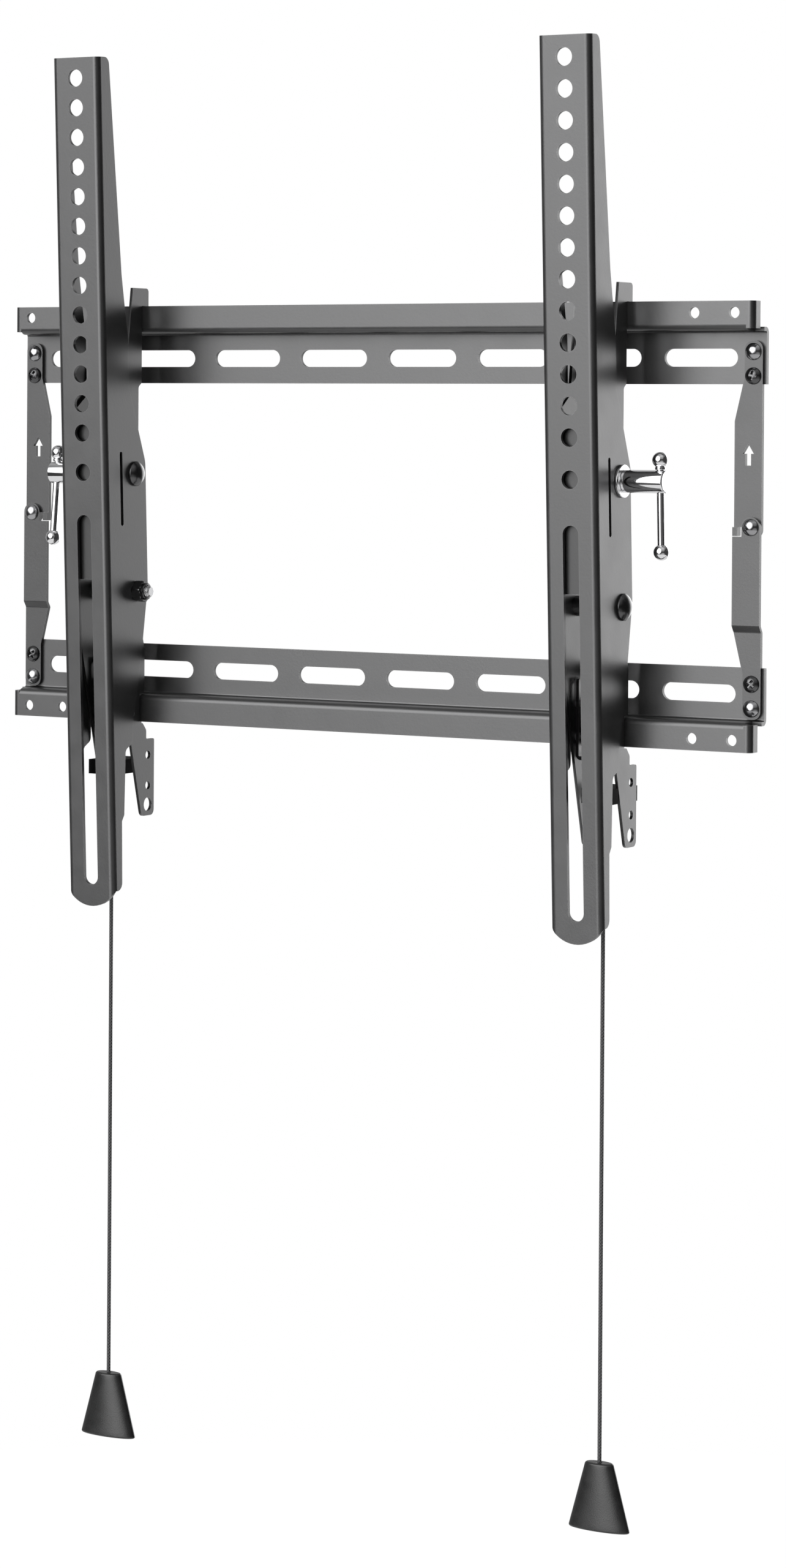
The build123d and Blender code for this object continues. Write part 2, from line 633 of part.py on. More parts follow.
def clamp_bolt():
    """Dome-headed bolt across the arm, head on the inner flange, thread in the handle's barrel."""
    half = ARM_WIDTH / 2
    shank = rod(BOLT_DIAMETER, -half, barrel_start + BARREL_THREAD_DEPTH - SEAT_GAP)
    return on_clamp(shank + Pos(-half, 0, 0) * Rot(0, -90, 0) * dome(CLAMP_HEAD, CLAMP_HEAD_HEIGHT))


def clamp_washer():
    """Flat washer under the handle's barrel."""
    half = ARM_WIDTH / 2
    ring = rod(WASHER_DIAMETER, half, barrel_start - RUNNING_GAP)
    return on_clamp(ring - rod(BOLT_DIAMETER + 2 * SHANK_GAP, -ARM_WIDTH, ARM_WIDTH))


def clamp_barrel(turn):
    """Turned nut of the T-handle, with a blind thread and a cross hole for the bar."""
    end = barrel_start + BARREL_LENGTH
    barrel = rod(BARREL_DIAMETER, barrel_start, end)
    barrel = chamfer(barrel.edges().filter_by(GeomType.CIRCLE).sort_by(Axis.X)[-1], BARREL_CHAMFER)
    barrel -= rod(BOLT_DIAMETER + 2 * RUNNING_GAP, 0, barrel_start + BARREL_THREAD_DEPTH)
    barrel -= Pos(bar_x, 0, 0) * Cylinder(BAR_DIAMETER / 2 + RUNNING_GAP, 2 * BARREL_DIAMETER)
    return on_clamp(barrel, turn)


def tommy_bar(turn):
    """Cross bar with a collar and a ball turned on its upper end, hanging by that collar."""
    low = bar_rest - BAR_LENGTH
    collar = bar_rest - BAR_BALL / 2 - BAR_COLLAR_HEIGHT
    bar = Pos(bar_x, 0, (bar_rest + low) / 2) * Cylinder(BAR_DIAMETER / 2, BAR_LENGTH)
    bar += Pos(bar_x, 0, (bar_rest + collar) / 2) * Cylinder(BAR_COLLAR / 2, bar_rest - collar)
    return on_clamp(bar + Pos(bar_x, 0, bar_rest) * Sphere(BAR_BALL / 2), turn)


def end_ball(turn):
    """Ball pressed on the lower end of the cross bar."""
    low = bar_rest - BAR_LENGTH
    ball = Pos(bar_x, 0, low) * Sphere(BAR_BALL / 2)
    bore = Pos(bar_x, 0, low + BAR_BALL / 2) * Cylinder(BAR_DIAMETER / 2, BAR_BALL)
    return on_clamp(ball - bore, turn)


def latch():
    """Folded slide: two cheeks on the pins, a floor for the spring, and noses behind the bottom lip."""
    top = latch_floor + LATCH_HEIGHT
    under_lip = -lip_edge - STOP_GAP - HANG_GAP
    nose_front = -RAIL_DEPTH + RAIL_SHEET + SEAT_GAP
    section = Pos(0, latch_floor + LATCH_HEIGHT / 2) * Rectangle(2 * latch_outside, LATCH_HEIGHT)
    section = fillet(section.vertices().sort_by(Axis.Y)[:2], LATCH_SHEET + FOLD_RADIUS)
    hollow = Pos(0, top + LATCH_SHEET) * Rectangle(2 * (latch_outside - LATCH_SHEET), 2 * LATCH_HEIGHT)
    section -= fillet(hollow.vertices().sort_by(Axis.Y)[:2], FOLD_RADIUS)
    cheek = outline([
        (-LATCH_FRONT, top, FOLD_RADIUS),
        (-LATCH_STEM_BACK, top, FOLD_RADIUS),
        (-LATCH_STEM_BACK, under_lip, FOLD_RADIUS),
        (nose_front, under_lip, 0),
        (nose_front, -lip_edge + LATCH_NOSE_RISE, 0),
        (-LATCH_BACK, -lip_edge, 0),
        (-LATCH_BACK, latch_floor, 0),
        (-LATCH_FRONT, latch_floor, 0),
    ])
    slide = front_plate(section, 0, -2 * LATCH_FRONT) & side_plate(cheek, -ARM_WIDTH, ARM_WIDTH)
    track = LATCH_PIN_PITCH + LATCH_TRAVEL + LATCH_PIN_DIAMETER + 2 * SEAT_GAP
    track_z = latch_pin_top + LATCH_PIN_DIAMETER / 2 + LATCH_TRAVEL + SEAT_GAP - track / 2
    slot = Pos(-LATCH_PIN_FROM_WALL, track_z) * SlotOverall(
        track, LATCH_PIN_DIAMETER + 2 * SEAT_GAP, rotation=90)
    slide -= side_plate(slot, -ARM_WIDTH, ARM_WIDTH)
    hole = Cylinder(CORD_DIAMETER / 2 + CORD_HOLE_GAP, 4 * LATCH_SHEET)
    return slide - cord_place * Pos(0, 0, latch_floor) * hole


def latch_pins():
    """Two pins across the bracket, flush outside, that the latch runs on."""
    pins = []
    for pin_z in (latch_pin_top, latch_pin_top - LATCH_PIN_PITCH):
        pins.append(rod(LATCH_PIN_DIAMETER, -bracket_outside, bracket_outside, -LATCH_PIN_FROM_WALL, pin_z))
    return pins


def guide_block(outer, front, back):
    """Block of the guide's height, from its inner end out to one X and between two depths."""
    width = outer + GUIDE_INNER_REACH
    middle = Pos((outer - GUIDE_INNER_REACH) / 2, (front + back) / 2, guide_top - GUIDE_HEIGHT / 2)
    return middle * Box(width, back - front, GUIDE_HEIGHT)


def latch_guide():
    """Moulded block clipped round the outer plate of the tab: seat of the spring and guide of the cord."""
    foot = guide_top - GUIDE_HEIGHT
    rear_end = -TAB_FROM_WALL + HANG_GAP
    nose_end = plate_edge(guide_top) - HANG_GAP
    block = guide_block(bracket_inside - RUNNING_GAP, -GUIDE_FRONT, -GUIDE_FROM_WALL)
    block += guide_block(bracket_outside, rear_end, -GUIDE_FROM_WALL)
    block += guide_block(bracket_outside, -GUIDE_FRONT, nose_end)
    block -= cord_place * Pos(0, 0, guide_top) * Cylinder(GUIDE_SEAT_DIAMETER / 2, 2 * GUIDE_SEAT_DEPTH)
    hole = Cylinder(CORD_DIAMETER / 2 + CORD_HOLE_GAP, 4 * GUIDE_HEIGHT)
    return block - cord_place * Pos(0, 0, foot) * hole


def latch_spring():
    """Coil spring round the cord, between its seat in the guide and the floor of the latch."""
    low = guide_top - GUIDE_SEAT_DEPTH + SPRING_WIRE / 2
    high = latch_floor - SPRING_WIRE / 2
    path = Helix((high - low) / SPRING_TURNS, high - low, (SPRING_DIAMETER - SPRING_WIRE) / 2)
    wire = Plane(origin=path @ 0, z_dir=path % 0) * Circle(SPRING_WIRE / 2)
    return cord_place * Pos(0, 0, low) * sweep(wire, path=path, is_frenet=True)


def cord_ferrule():
    """Sleeve crimped on the cord above the floor of the latch."""
    base = latch_floor + LATCH_SHEET
    sleeve = Cylinder(FERRULE_DIAMETER / 2, FERRULE_HEIGHT) - Cylinder(CORD_DIAMETER / 2, 2 * FERRULE_HEIGHT)
    return cord_place * Pos(0, 0, base + FERRULE_HEIGHT / 2) * sleeve


def pull_cord(drop):
    """Straight cord from the ferrule down into the grip that hangs on it."""
    high = latch_floor + LATCH_SHEET + FERRULE_HEIGHT
    low = latch_floor - drop - CORD_GRIP_INSET
    return cord_place * Pos(0, 0, (high + low) / 2) * Cylinder(CORD_DIAMETER / 2, high - low)


def cord_pull(drop):
    """Moulded oval grip, wide at the foot, with a bore for the cord and a pocket for its knot."""
    high = latch_floor - drop
    low = high - GRIP_HEIGHT
    top = Pos(0, 0, high) * Ellipse(GRIP_TOP_WIDTH / 2, GRIP_TOP_DEPTH / 2)
    bottom = Pos(0, 0, low) * Ellipse(GRIP_BOTTOM_WIDTH / 2, GRIP_BOTTOM_DEPTH / 2)
    grip = loft([bottom, top])
    rims = grip.edges().filter_by(lambda edge: abs(edge.center().Z - high) < GRIP_EDGE)
    rims += grip.edges().filter_by(lambda edge: abs(edge.center().Z - low) < GRIP_EDGE)
    grip = fillet(rims, GRIP_EDGE)
    grip -= Pos(0, 0, high) * Cylinder(CORD_DIAMETER / 2, 2 * CORD_GRIP_INSET)
    pocket = GRIP_HEIGHT - CORD_GRIP_INSET
    grip -= Pos(0, 0, low + pocket / 2) * Cylinder(GRIP_KNOT_DIAMETER / 2, pocket)
    return cord_place * grip


def side_pieces(drop, handle_turn):
    """Every piece of one side, drawn with its outer face towards +X and its arm at X = 0."""
    lean = REST_TILT
    return {
        "hook_bracket": hook_bracket(),
        "pivot_spacer": pivot_spacer(),
        "latch_pins": latch_pins(),
        "latch_guide": latch_guide(),
        "latch_spring": latch_spring(),
        "tv_arm": tilted(tv_arm(), lean),
        "pivot_bolt": tilted(pivot_bolt(), lean),
        "pivot_nut": tilted(pivot_nut(), lean),
        "clamp_bolt": tilted(clamp_bolt(), lean),
        "clamp_washer": tilted(clamp_washer(), lean),
        "clamp_barrel": tilted(clamp_barrel(handle_turn), lean),
        "tommy_bar": tilted(tommy_bar(handle_turn), lean),
        "end_ball": tilted(end_ball(handle_turn), lean),
        "latch": latch(),
        "cord_ferrule": cord_ferrule(),
        "pull_cord": pull_cord(drop),
        "cord_pull": cord_pull(drop),
    }


def save(name, shape):
    """Write one node as a STEP file, a group of solids as one compound."""
    if isinstance(shape, list):
        shape = Compound(children=[solid for piece in shape for solid in piece.solids()])
    export_step(shape, f"parts/{name}.step")


os.makedirs("parts", exist_ok=True)

save("top_rail", rail((upper_rivet_z, upper_screw_z), (RIVET_SHANK, SCREW_SHANK)))
save("bottom_rail", mirror(rail((-lower_rivet_z, -lower_screw_z), (RIVET_SHANK, SCREW_SHANK)), Plane.XY))

rivets = []
screws = []
for side, side_name in ((-1, "left"), (1, "right")):
    save(f"{side_name}_upper_link", upper_link(side))
    save(f"{side_name}_lower_link", lower_link(side))
    rivets.append(link_rivet(side, upper_rivet_z, web_front - LINK_SHEET, 0, False))
    rivets.append(link_rivet(side, lower_rivet_z, web_front - LINK_SHEET, 0, False))
    rivets.append(link_rivet(side, hinge_z, web_front - 2 * LINK_SHEET, web_front, True))
    screws.append(link_screw(side, upper_screw_z))
    screws.append(link_screw(side, lower_screw_z))
save("link_rivets", rivets)
save("link_screws", screws)

for name, piece in side_pieces(RIGHT_CORD_DROP, RIGHT_HANDLE_TURN).items():
    solids = piece if isinstance(piece, list) else [piece]
    save(f"right_{name}", [Pos(right_arm_x, 0, 0) * solid for solid in solids])
for name, piece in side_pieces(LEFT_CORD_DROP, LEFT_HANDLE_TURN).items():
    solids = piece if isinstance(piece, list) else [piece]
    save(f"left_{name}", [Pos(left_arm_x, 0, 0) * mirror(solid, Plane.YZ) for solid in solids])
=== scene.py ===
import bpy
import bmesh
import math
import numpy as np
from mathutils import Matrix, Vector


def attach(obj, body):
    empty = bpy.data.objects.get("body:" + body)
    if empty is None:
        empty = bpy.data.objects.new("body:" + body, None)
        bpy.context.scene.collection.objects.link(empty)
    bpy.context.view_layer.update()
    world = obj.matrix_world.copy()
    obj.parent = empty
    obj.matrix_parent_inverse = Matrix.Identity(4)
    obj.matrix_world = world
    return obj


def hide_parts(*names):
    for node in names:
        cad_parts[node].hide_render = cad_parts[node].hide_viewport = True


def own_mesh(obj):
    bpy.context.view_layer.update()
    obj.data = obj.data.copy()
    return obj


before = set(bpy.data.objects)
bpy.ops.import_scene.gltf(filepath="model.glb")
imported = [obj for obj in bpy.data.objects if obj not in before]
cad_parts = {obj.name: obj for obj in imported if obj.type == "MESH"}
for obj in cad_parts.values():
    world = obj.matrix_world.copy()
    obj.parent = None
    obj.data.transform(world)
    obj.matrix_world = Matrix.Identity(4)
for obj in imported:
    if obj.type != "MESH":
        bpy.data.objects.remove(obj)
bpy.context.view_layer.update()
scene = bpy.context.scene
scene.view_settings.view_transform = "Standard"

# Studio: a round pale floor below the hanging grips, in a white room. A large softbox stands in front,
# high on the left of the camera, a bright panel stands behind, and a dark field low on the left takes the
# softbox's light away towards the foot of the arms.
FLOOR_LEVEL, FLOOR_RADIUS, FLOOR_SIDES = -0.9, 1.7, 96
FLOOR_GREYS = (0.93, 0.93, 0.93), (0.96, 0.96, 0.96)
FLOOR_MOTTLE, FLOOR_ROUGHNESS, FLOOR_SHINE, FLOOR_GLOW = 3.0, 0.9, 0.1, 1.06
GLOW_SHARES = {"Is Camera Ray": 0.88, "Is Glossy Ray": 0.25, "Is Transmission Ray": 0.88}


def worked(tree, operation, *values):
    """One Math node in a node tree on its values, each a number or a socket."""
    node = tree.nodes.new("ShaderNodeMath")
    node.operation = operation
    for socket, value in zip(node.inputs, values):
        if isinstance(value, (int, float)):
            socket.default_value = value
        else:
            tree.links.new(value, socket)
    return node.outputs[0]


def blended(tree, factor, first, second, kind="MIX"):
    """One Mix node in a node tree from the first colour to the second, each three numbers or a socket."""
    node = tree.nodes.new("ShaderNodeMix")
    node.data_type = "RGBA"
    node.blend_type = kind
    tree.links.new(factor, node.inputs["Factor"])
    for name, colour in (("A", first), ("B", second)):
        if isinstance(colour, tuple):
            node.inputs[name].default_value = (*colour, 1)
        else:
            tree.links.new(colour, node.inputs[name])
    return node.outputs["Result"]


def ranged(tree, value, low, high, start=0.0, end=1.0, kind="LINEAR"):
    """One Map Range node in a node tree: low to high becomes start to end, held beyond both."""
    node = tree.nodes.new("ShaderNodeMapRange")
    node.interpolation_type = kind
    for name, number in (("From Min", low), ("From Max", high), ("To Min", start), ("To Max", end)):
        node.inputs[name].default_value = number
    tree.links.new(value, node.inputs["Value"])
    return node.outputs["Result"]


around = np.linspace(0.0, 2 * np.pi, FLOOR_SIDES, endpoint=False)
rim = np.stack([FLOOR_RADIUS * np.cos(around), FLOOR_RADIUS * np.sin(around),
                np.full_like(around, FLOOR_LEVEL)], axis=1)
floor_mesh = bpy.data.meshes.new("studio_floor")
floor_mesh.from_pydata(rim.tolist(), [], [list(range(FLOOR_SIDES))])
floor = bpy.data.objects.new("studio_floor", floor_mesh)
scene.collection.objects.link(floor)

floor_paint = bpy.data.materials.new("pale_floor")
floor_paint.use_nodes = True
paint = floor_paint.node_tree
surface = paint.nodes["Principled BSDF"]
surface.inputs["Roughness"].default_value = FLOOR_ROUGHNESS
surface.inputs["Specular IOR Level"].default_value = FLOOR_SHINE
place = paint.nodes.new("ShaderNodeTexCoord")
mottle = paint.nodes.new("ShaderNodeTexNoise")
mottle.inputs["Scale"].default_value = FLOOR_MOTTLE
paint.links.new(place.outputs["Object"], mottle.inputs["Vector"])
paint.links.new(blended(paint, mottle.outputs["Fac"], *FLOOR_GREYS), surface.inputs["Base Color"])
glow = paint.nodes.new("ShaderNodeEmission")
glow.inputs["Strength"].default_value = FLOOR_GLOW
path = paint.nodes.new("ShaderNodeLightPath")
seen = 0.0
for ray, share in GLOW_SHARES.items():
    seen = worked(paint, "MAXIMUM", seen, worked(paint, "MULTIPLY", path.outputs[ray], share))
blend = paint.nodes.new("ShaderNodeMixShader")
paint.links.new(seen, blend.inputs["Fac"])
paint.links.new(surface.outputs["BSDF"], blend.inputs[1])
paint.links.new(glow.outputs["Emission"], blend.inputs[2])
paint.links.new(blend.outputs["Shader"], paint.nodes["Material Output"].inputs["Surface"])
floor_mesh.materials.append(floor_paint)

# Lights of the room: each is a direction, the angles of its edge and core in degrees, and a strength. The
# white that the camera sees behind the object is apart from them.
SOFTBOX = (-0.30, -0.90, 0.32), 44, 18, 3.9
DARK_FIELD = (-0.80, -0.43, -0.42), 44, 24, -4.2
DARKEST = 0.05
REAR_PANEL = (0.14, 0.98, 0.06), 32, 14, 3.0
LEFT_FILL = (-0.75, 0.55, 0.1), 60, 30, 0.25
HIGH_FILL = (0.55, -0.5, 0.67), 35, 15, 0.3
CEILING = (0.0, 0.0, 1.0), 60, 20, 0.35
LOW_FILL = (0.60, -0.55, -0.58), 36, 10, 0.4
BACKDROP = (-0.5, 0.866, 0.0), 44, 26, 0.3
WHITE = 1.0
studio = bpy.data.worlds.new("studio_room")
studio.use_nodes = True
scene.world = studio
room = studio.node_tree
room.nodes.clear()
way = room.nodes.new("ShaderNodeTexCoord")


def panel(direction, edge, core, strength):
    """Light from a round panel: strength inside the core angle from its direction, fading smoothly to
    nothing at the edge angle. A negative strength takes light away."""
    along = room.nodes.new("ShaderNodeVectorMath")
    along.operation = "DOT_PRODUCT"
    along.inputs[1].default_value = Vector(direction).normalized()
    room.links.new(way.outputs["Generated"], along.inputs[0])
    edge_cosine, core_cosine = math.cos(math.radians(edge)), math.cos(math.radians(core))
    return ranged(room, along.outputs["Value"], edge_cosine, core_cosine, 0.0, strength, "SMOOTHSTEP")


path = room.nodes.new("ShaderNodeLightPath")
level = worked(room, "MAXIMUM", worked(room, "ADD", panel(*SOFTBOX), panel(*DARK_FIELD)), DARKEST)
for light in (REAR_PANEL, LEFT_FILL, HIGH_FILL, CEILING, LOW_FILL):
    level = worked(room, "ADD", level, panel(*light))
mirrored = worked(room, "MAXIMUM", path.outputs["Is Glossy Ray"], path.outputs["Is Transmission Ray"])
level = worked(room, "ADD", level, worked(room, "MULTIPLY", mirrored, panel(*BACKDROP)))
shown = room.nodes.new("ShaderNodeMix")
shown.data_type = "FLOAT"
room.links.new(path.outputs["Is Camera Ray"], shown.inputs["Factor"])
room.links.new(level, shown.inputs["A"])
shown.inputs["B"].default_value = WHITE
sky = room.nodes.new("ShaderNodeBackground")
sky.inputs["Color"].default_value = (1.0, 1.0, 1.0, 1.0)
room.links.new(shown.outputs["Result"], sky.inputs["Strength"])
room.links.new(sky.outputs["Background"], room.nodes.new("ShaderNodeOutputWorld").inputs["Surface"])

# Camera: a long lens to the right of the middle, level with the upper holes of the wall plate, the
# picture shifted down to take in the cords.
YAW, PITCH, ROLL = math.radians(30.0), 0.0086, 0.0064
CAMERA_PLACE = (1.015452, -1.744845, 0.051857)
SENSOR = 36.0
PICTURE_ROWS, FOCAL_PIXELS, AXIS_ROW = 2560, 6568.97, 733.89
NEAREST, FARTHEST = 0.05, 60.0
sight = Vector((-math.sin(YAW) * math.cos(PITCH), math.cos(YAW) * math.cos(PITCH), -math.sin(PITCH)))
side = Vector((math.cos(YAW), math.sin(YAW), 0.0))
up = side.cross(sight)
right_way = side * math.cos(ROLL) + up * math.sin(ROLL)
up_way = up * math.cos(ROLL) - side * math.sin(ROLL)
lens = bpy.data.cameras.new("camera")
lens.sensor_width = SENSOR
lens.lens = SENSOR * FOCAL_PIXELS / PICTURE_ROWS
lens.shift_y = (AXIS_ROW - PICTURE_ROWS / 2) / PICTURE_ROWS
lens.clip_start = NEAREST
lens.clip_end = FARTHEST
camera = bpy.data.objects.new("camera", lens)
facing = Matrix((right_way, up_way, -sight)).transposed()
camera.matrix_world = Matrix.Translation(CAMERA_PLACE) @ facing.to_4x4()
scene.collection.objects.link(camera)
scene.camera = camera

# Wall rails: two lengths of 2 mm sheet steel, slotted, stepped and folded on a press, then sprayed with
# satin black powder and baked. They are screwed flat to the wall.
BROAD_SHARE = 0.08
FLAT_COSINE, EDGE_COSINE, EDGE_RADIUS, EDGE_SHARE = 0.995, 0.85, 0.0006, 0.5
TONE_LOW, TONE_HIGH = 0.3, 0.7
PEEL_DEPTH = 0.0001


def grain_group():
    """Group for a sprayed or moulded skin: height is noise at the size of its peel, tone is the same
    kind of noise a dozen times coarser."""
    group = bpy.data.node_groups.new("skin_grain", "ShaderNodeTree")
    group.interface.new_socket("Vector", in_out="INPUT", socket_type="NodeSocketVector")
    group.interface.new_socket("Grain", in_out="INPUT", socket_type="NodeSocketFloat")
    group.interface.new_socket("Height", in_out="OUTPUT", socket_type="NodeSocketFloat")
    group.interface.new_socket("Tone", in_out="OUTPUT", socket_type="NodeSocketFloat")
    ins = group.nodes.new("NodeGroupInput")
    outs = group.nodes.new("NodeGroupOutput")
    fine = group.nodes.new("ShaderNodeTexNoise")
    fine.inputs["Detail"].default_value = 2.0
    fine.inputs["Roughness"].default_value = 0.55
    broad = group.nodes.new("ShaderNodeTexNoise")
    broad.inputs["Detail"].default_value = 3.0
    for noise in (fine, broad):
        group.links.new(ins.outputs["Vector"], noise.inputs["Vector"])
    group.links.new(ins.outputs["Grain"], fine.inputs["Scale"])
    slower = worked(group, "MULTIPLY", ins.outputs["Grain"], BROAD_SHARE)
    group.links.new(slower, broad.inputs["Scale"])
    group.links.new(fine.outputs["Fac"], outs.inputs["Height"])
    group.links.new(broad.outputs["Fac"], outs.inputs["Tone"])
    return group


def edge_group():
    """Group for corners: the mask is how far the surface's normal turns away from the normal rounded
    over a small radius, so it is one at cut edges and nothing on flats."""
    group = bpy.data.node_groups.new("thin_edges", "ShaderNodeTree")
    group.interface.new_socket("Radius", in_out="INPUT", socket_type="NodeSocketFloat")
    group.interface.new_socket("Mask", in_out="OUTPUT", socket_type="NodeSocketFloat")
    ins = group.nodes.new("NodeGroupInput")
    outs = group.nodes.new("NodeGroupOutput")
    rounded = group.nodes.new("ShaderNodeBevel")
    rounded.samples = 4
    own = group.nodes.new("ShaderNodeNewGeometry")
    along = group.nodes.new("ShaderNodeVectorMath")
    along.operation = "DOT_PRODUCT"
    group.links.new(ins.outputs["Radius"], rounded.inputs["Radius"])
    group.links.new(rounded.outputs["Normal"], along.inputs[0])
    group.links.new(own.outputs["Normal"], along.inputs[1])
    mask = ranged(group, along.outputs["Value"], FLAT_COSINE, EDGE_COSINE)
    group.links.new(mask, outs.inputs["Mask"])
    return group


skin_grain = grain_group()
thin_edges = edge_group()


def embossed(tree, height, strength, depth):
    """One Bump node in a node tree: the normal of a surface with that height."""
    relief = tree.nodes.new("ShaderNodeBump")
    relief.inputs["Strength"].default_value = strength
    relief.inputs["Distance"].default_value = depth
    tree.links.new(height, relief.inputs["Height"])
    return relief.outputs["Normal"]


def skin(name, dark, light, rough, grain, bump, edge=None, **constants):
    """Material whose colour goes from dark to light and whose roughness between two values with the
    slow tone, whose normal is the fine height, and which takes the edge colour on its cut edges, partly
    worn coat and partly a painted highlight. The constants are set on the shader's sockets, named with _
    for a space."""
    finish = bpy.data.materials.new(name)
    finish.use_nodes = True
    tree = finish.node_tree
    surface = tree.nodes["Principled BSDF"]
    place = tree.nodes.new("ShaderNodeTexCoord")
    peel = tree.nodes.new("ShaderNodeGroup")
    peel.node_tree = skin_grain
    peel.inputs["Grain"].default_value = grain
    tree.links.new(place.outputs["Object"], peel.inputs["Vector"])
    painted = blended(tree, ranged(tree, peel.outputs["Tone"], TONE_LOW, TONE_HIGH), dark, light)
    # Lighter cut edges: partly wear of the coat, partly a painted highlight where the edges catch the light.
    if edge:
        corners = tree.nodes.new("ShaderNodeGroup")
        corners.node_tree = thin_edges
        corners.inputs["Radius"].default_value = EDGE_RADIUS
        wear_and_highlight = worked(tree, "MULTIPLY", corners.outputs["Mask"], EDGE_SHARE)
        painted = blended(tree, wear_and_highlight, painted, edge)
    tree.links.new(painted, surface.inputs["Base Color"])
    gloss = ranged(tree, peel.outputs["Tone"], TONE_LOW, TONE_HIGH, *rough)
    tree.links.new(gloss, surface.inputs["Roughness"])
    tree.links.new(embossed(tree, peel.outputs["Height"], bump, PEEL_DEPTH), surface.inputs["Normal"])
    for socket, value in constants.items():
        surface.inputs[socket.replace("_", " ")].default_value = value
    return finish


def powder(name, share):
    """Satin powder coat: metallic flake under a thin clear film, its greys scaled by share."""
    # The edge grey, lighter than the coat, is partly wear and partly a painted highlight on the cut edges.
    dark, light, edge = (tuple(share * value for value in grey) for grey in (
        (0.098, 0.098, 0.099), (0.106, 0.106, 0.107), (0.2, 0.2, 0.2)))
    return skin(name, dark, light, (0.33, 0.39), 900.0, 0.22, edge,
                Metallic=0.9, Coat_Weight=0.25, Coat_Roughness=0.34)


def dress(finish, *names):
    """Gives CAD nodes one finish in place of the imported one."""
    for name in names:
        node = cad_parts[name]
        node.data.materials.clear()
        node.data.materials.append(finish)


powder_coat = powder("satin_black_powder_coat", 1.0)
dress(powder_coat, "top_rail", "bottom_rail")

# Folding links: flat strips of coated sheet, darkened as painted shade, the upper ones with a punched
# arrow, the lower ones joggled to lap over them. Rivets hold them to the rails and to each other.
# The share below one darkens the links' coat: painted shade.
LINK_SHADE_SHARE = 0.78
shaded_link_coat = powder("black_powder_coat_painted_shade", LINK_SHADE_SHARE)
dress(shaded_link_coat, "left_upper_link", "right_upper_link", "left_lower_link", "right_lower_link")

# Link rivets: six dome-headed steel rivets in bright black nickel, set by machine, flush at the wall and
# with a flat tail behind each hinge.
RIVET_X, UPPER_RIVET_Z, LOWER_RIVET_Z, HINGE_Z = 0.2079, 0.0831, -0.0868, -0.0005
LINK_FRONT, LAP_FRONT, LINK_BACK = -0.004, -0.006, -0.002
RIVET_HEAD, RIVET_RISE, RIVET_SHANK = 0.008, 0.0026, 0.0024
TAIL, TAIL_FACE, TAIL_SIDE, TAIL_DEPTH = 0.0035, 0.0031, 0.0010, 0.0012
HEAD_SIDES = 48
SMOOTH_LIMIT, MERGE_DISTANCE = 35, 1e-7
CROWN_SHARE, RIM_TOP, RIM_FOOT = 0.75, 0.2, 0.05
RIM_SWELL, SEAT_EDGE, POLE_ANGLE = 0.00008, 0.0001, 0.02


def turned(radius, height, base, axis, ring=False):
    """Rings round an axis through base: each has a radius and a height along the axis, which may change
    round the ring. The ends close on the axis, or the last ring on the first if ring is set."""
    radius, height = np.broadcast_arrays(np.asarray(radius, float), np.asarray(height, float))
    count = radius.shape[1]
    angle = np.linspace(0.0, 2 * np.pi, count, endpoint=False)
    axis = np.asarray(axis, float) / np.linalg.norm(axis)
    across = np.cross(axis, np.eye(3)[np.argmin(np.abs(axis))])
    across /= np.linalg.norm(across)
    onward = np.cross(axis, across)
    spoke = np.cos(angle)[:, None] * across + np.sin(angle)[:, None] * onward
    points = np.asarray(base, float) + height[..., None] * axis + radius[..., None] * spoke
    return skinned(points, ring)


def skinned(points, ring=False):
    """Points and faces of a tube through rings of points: quads between rings, and either a joint from
    the last ring to the first or a fan to the middle of each end ring."""
    count_rings, count = points.shape[:2]
    index = np.arange(count_rings * count).reshape(count_rings, count)
    ahead = np.roll(index, -1, axis=1)
    lower, upper = (index, np.roll(index, -1, axis=0)) if ring else (index[:-1], index[1:])
    lower_ahead, upper_ahead = (ahead, np.roll(ahead, -1, axis=0)) if ring else (ahead[:-1], ahead[1:])
    quads = np.stack([lower, lower_ahead, upper_ahead, upper], axis=-1).reshape(-1, 4)
    fans = np.zeros((0, 3), int)
    flat = points.reshape(-1, 3)
    if not ring:
        first, last = count_rings * count, count_rings * count + 1
        flat = np.concatenate([flat, points[0].mean(axis=0)[None], points[-1].mean(axis=0)[None]])
        fans = np.concatenate([np.stack([np.full(count, first), ahead[0], index[0]], axis=-1),
                               np.stack([np.full(count, last), index[-1], ahead[-1]], axis=-1)])
    return flat, quads, fans


def piece(name, shells, finish, slot, body, *nodes):
    """One mesh at the origin from shells of points and faces, its faces turned outwards, smooth up to
    a limit in degrees, riding on a body in place of CAD nodes."""
    mesh = bpy.data.meshes.new(name)
    points, faces, start = [], [], 0
    for flat, quads, fans in shells:
        points.append(flat)
        faces += (quads + start).tolist() + (fans + start).tolist()
        start += len(flat)
    mesh.from_pydata(np.concatenate(points).tolist(), [], faces)
    form = bmesh.new()
    form.from_mesh(mesh)
    bmesh.ops.remove_doubles(form, verts=form.verts, dist=MERGE_DISTANCE)
    bmesh.ops.recalc_face_normals(form, faces=form.faces)
    form.to_mesh(mesh)
    form.free()
    mesh.shade_smooth()
    mesh.set_sharp_from_angle(angle=math.radians(SMOOTH_LIMIT))
    mesh.materials.append(finish)
    made = bpy.data.objects.new(name, mesh)
    scene.collection.objects.link(made)
    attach(made, body)
    if nodes:
        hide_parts(*nodes)
    return made


def cap_ball(width, crown):
    """Radius of the ball that a cap of that width and height is cut from."""
    return (width ** 2 / 4 + crown ** 2) / (2 * crown)


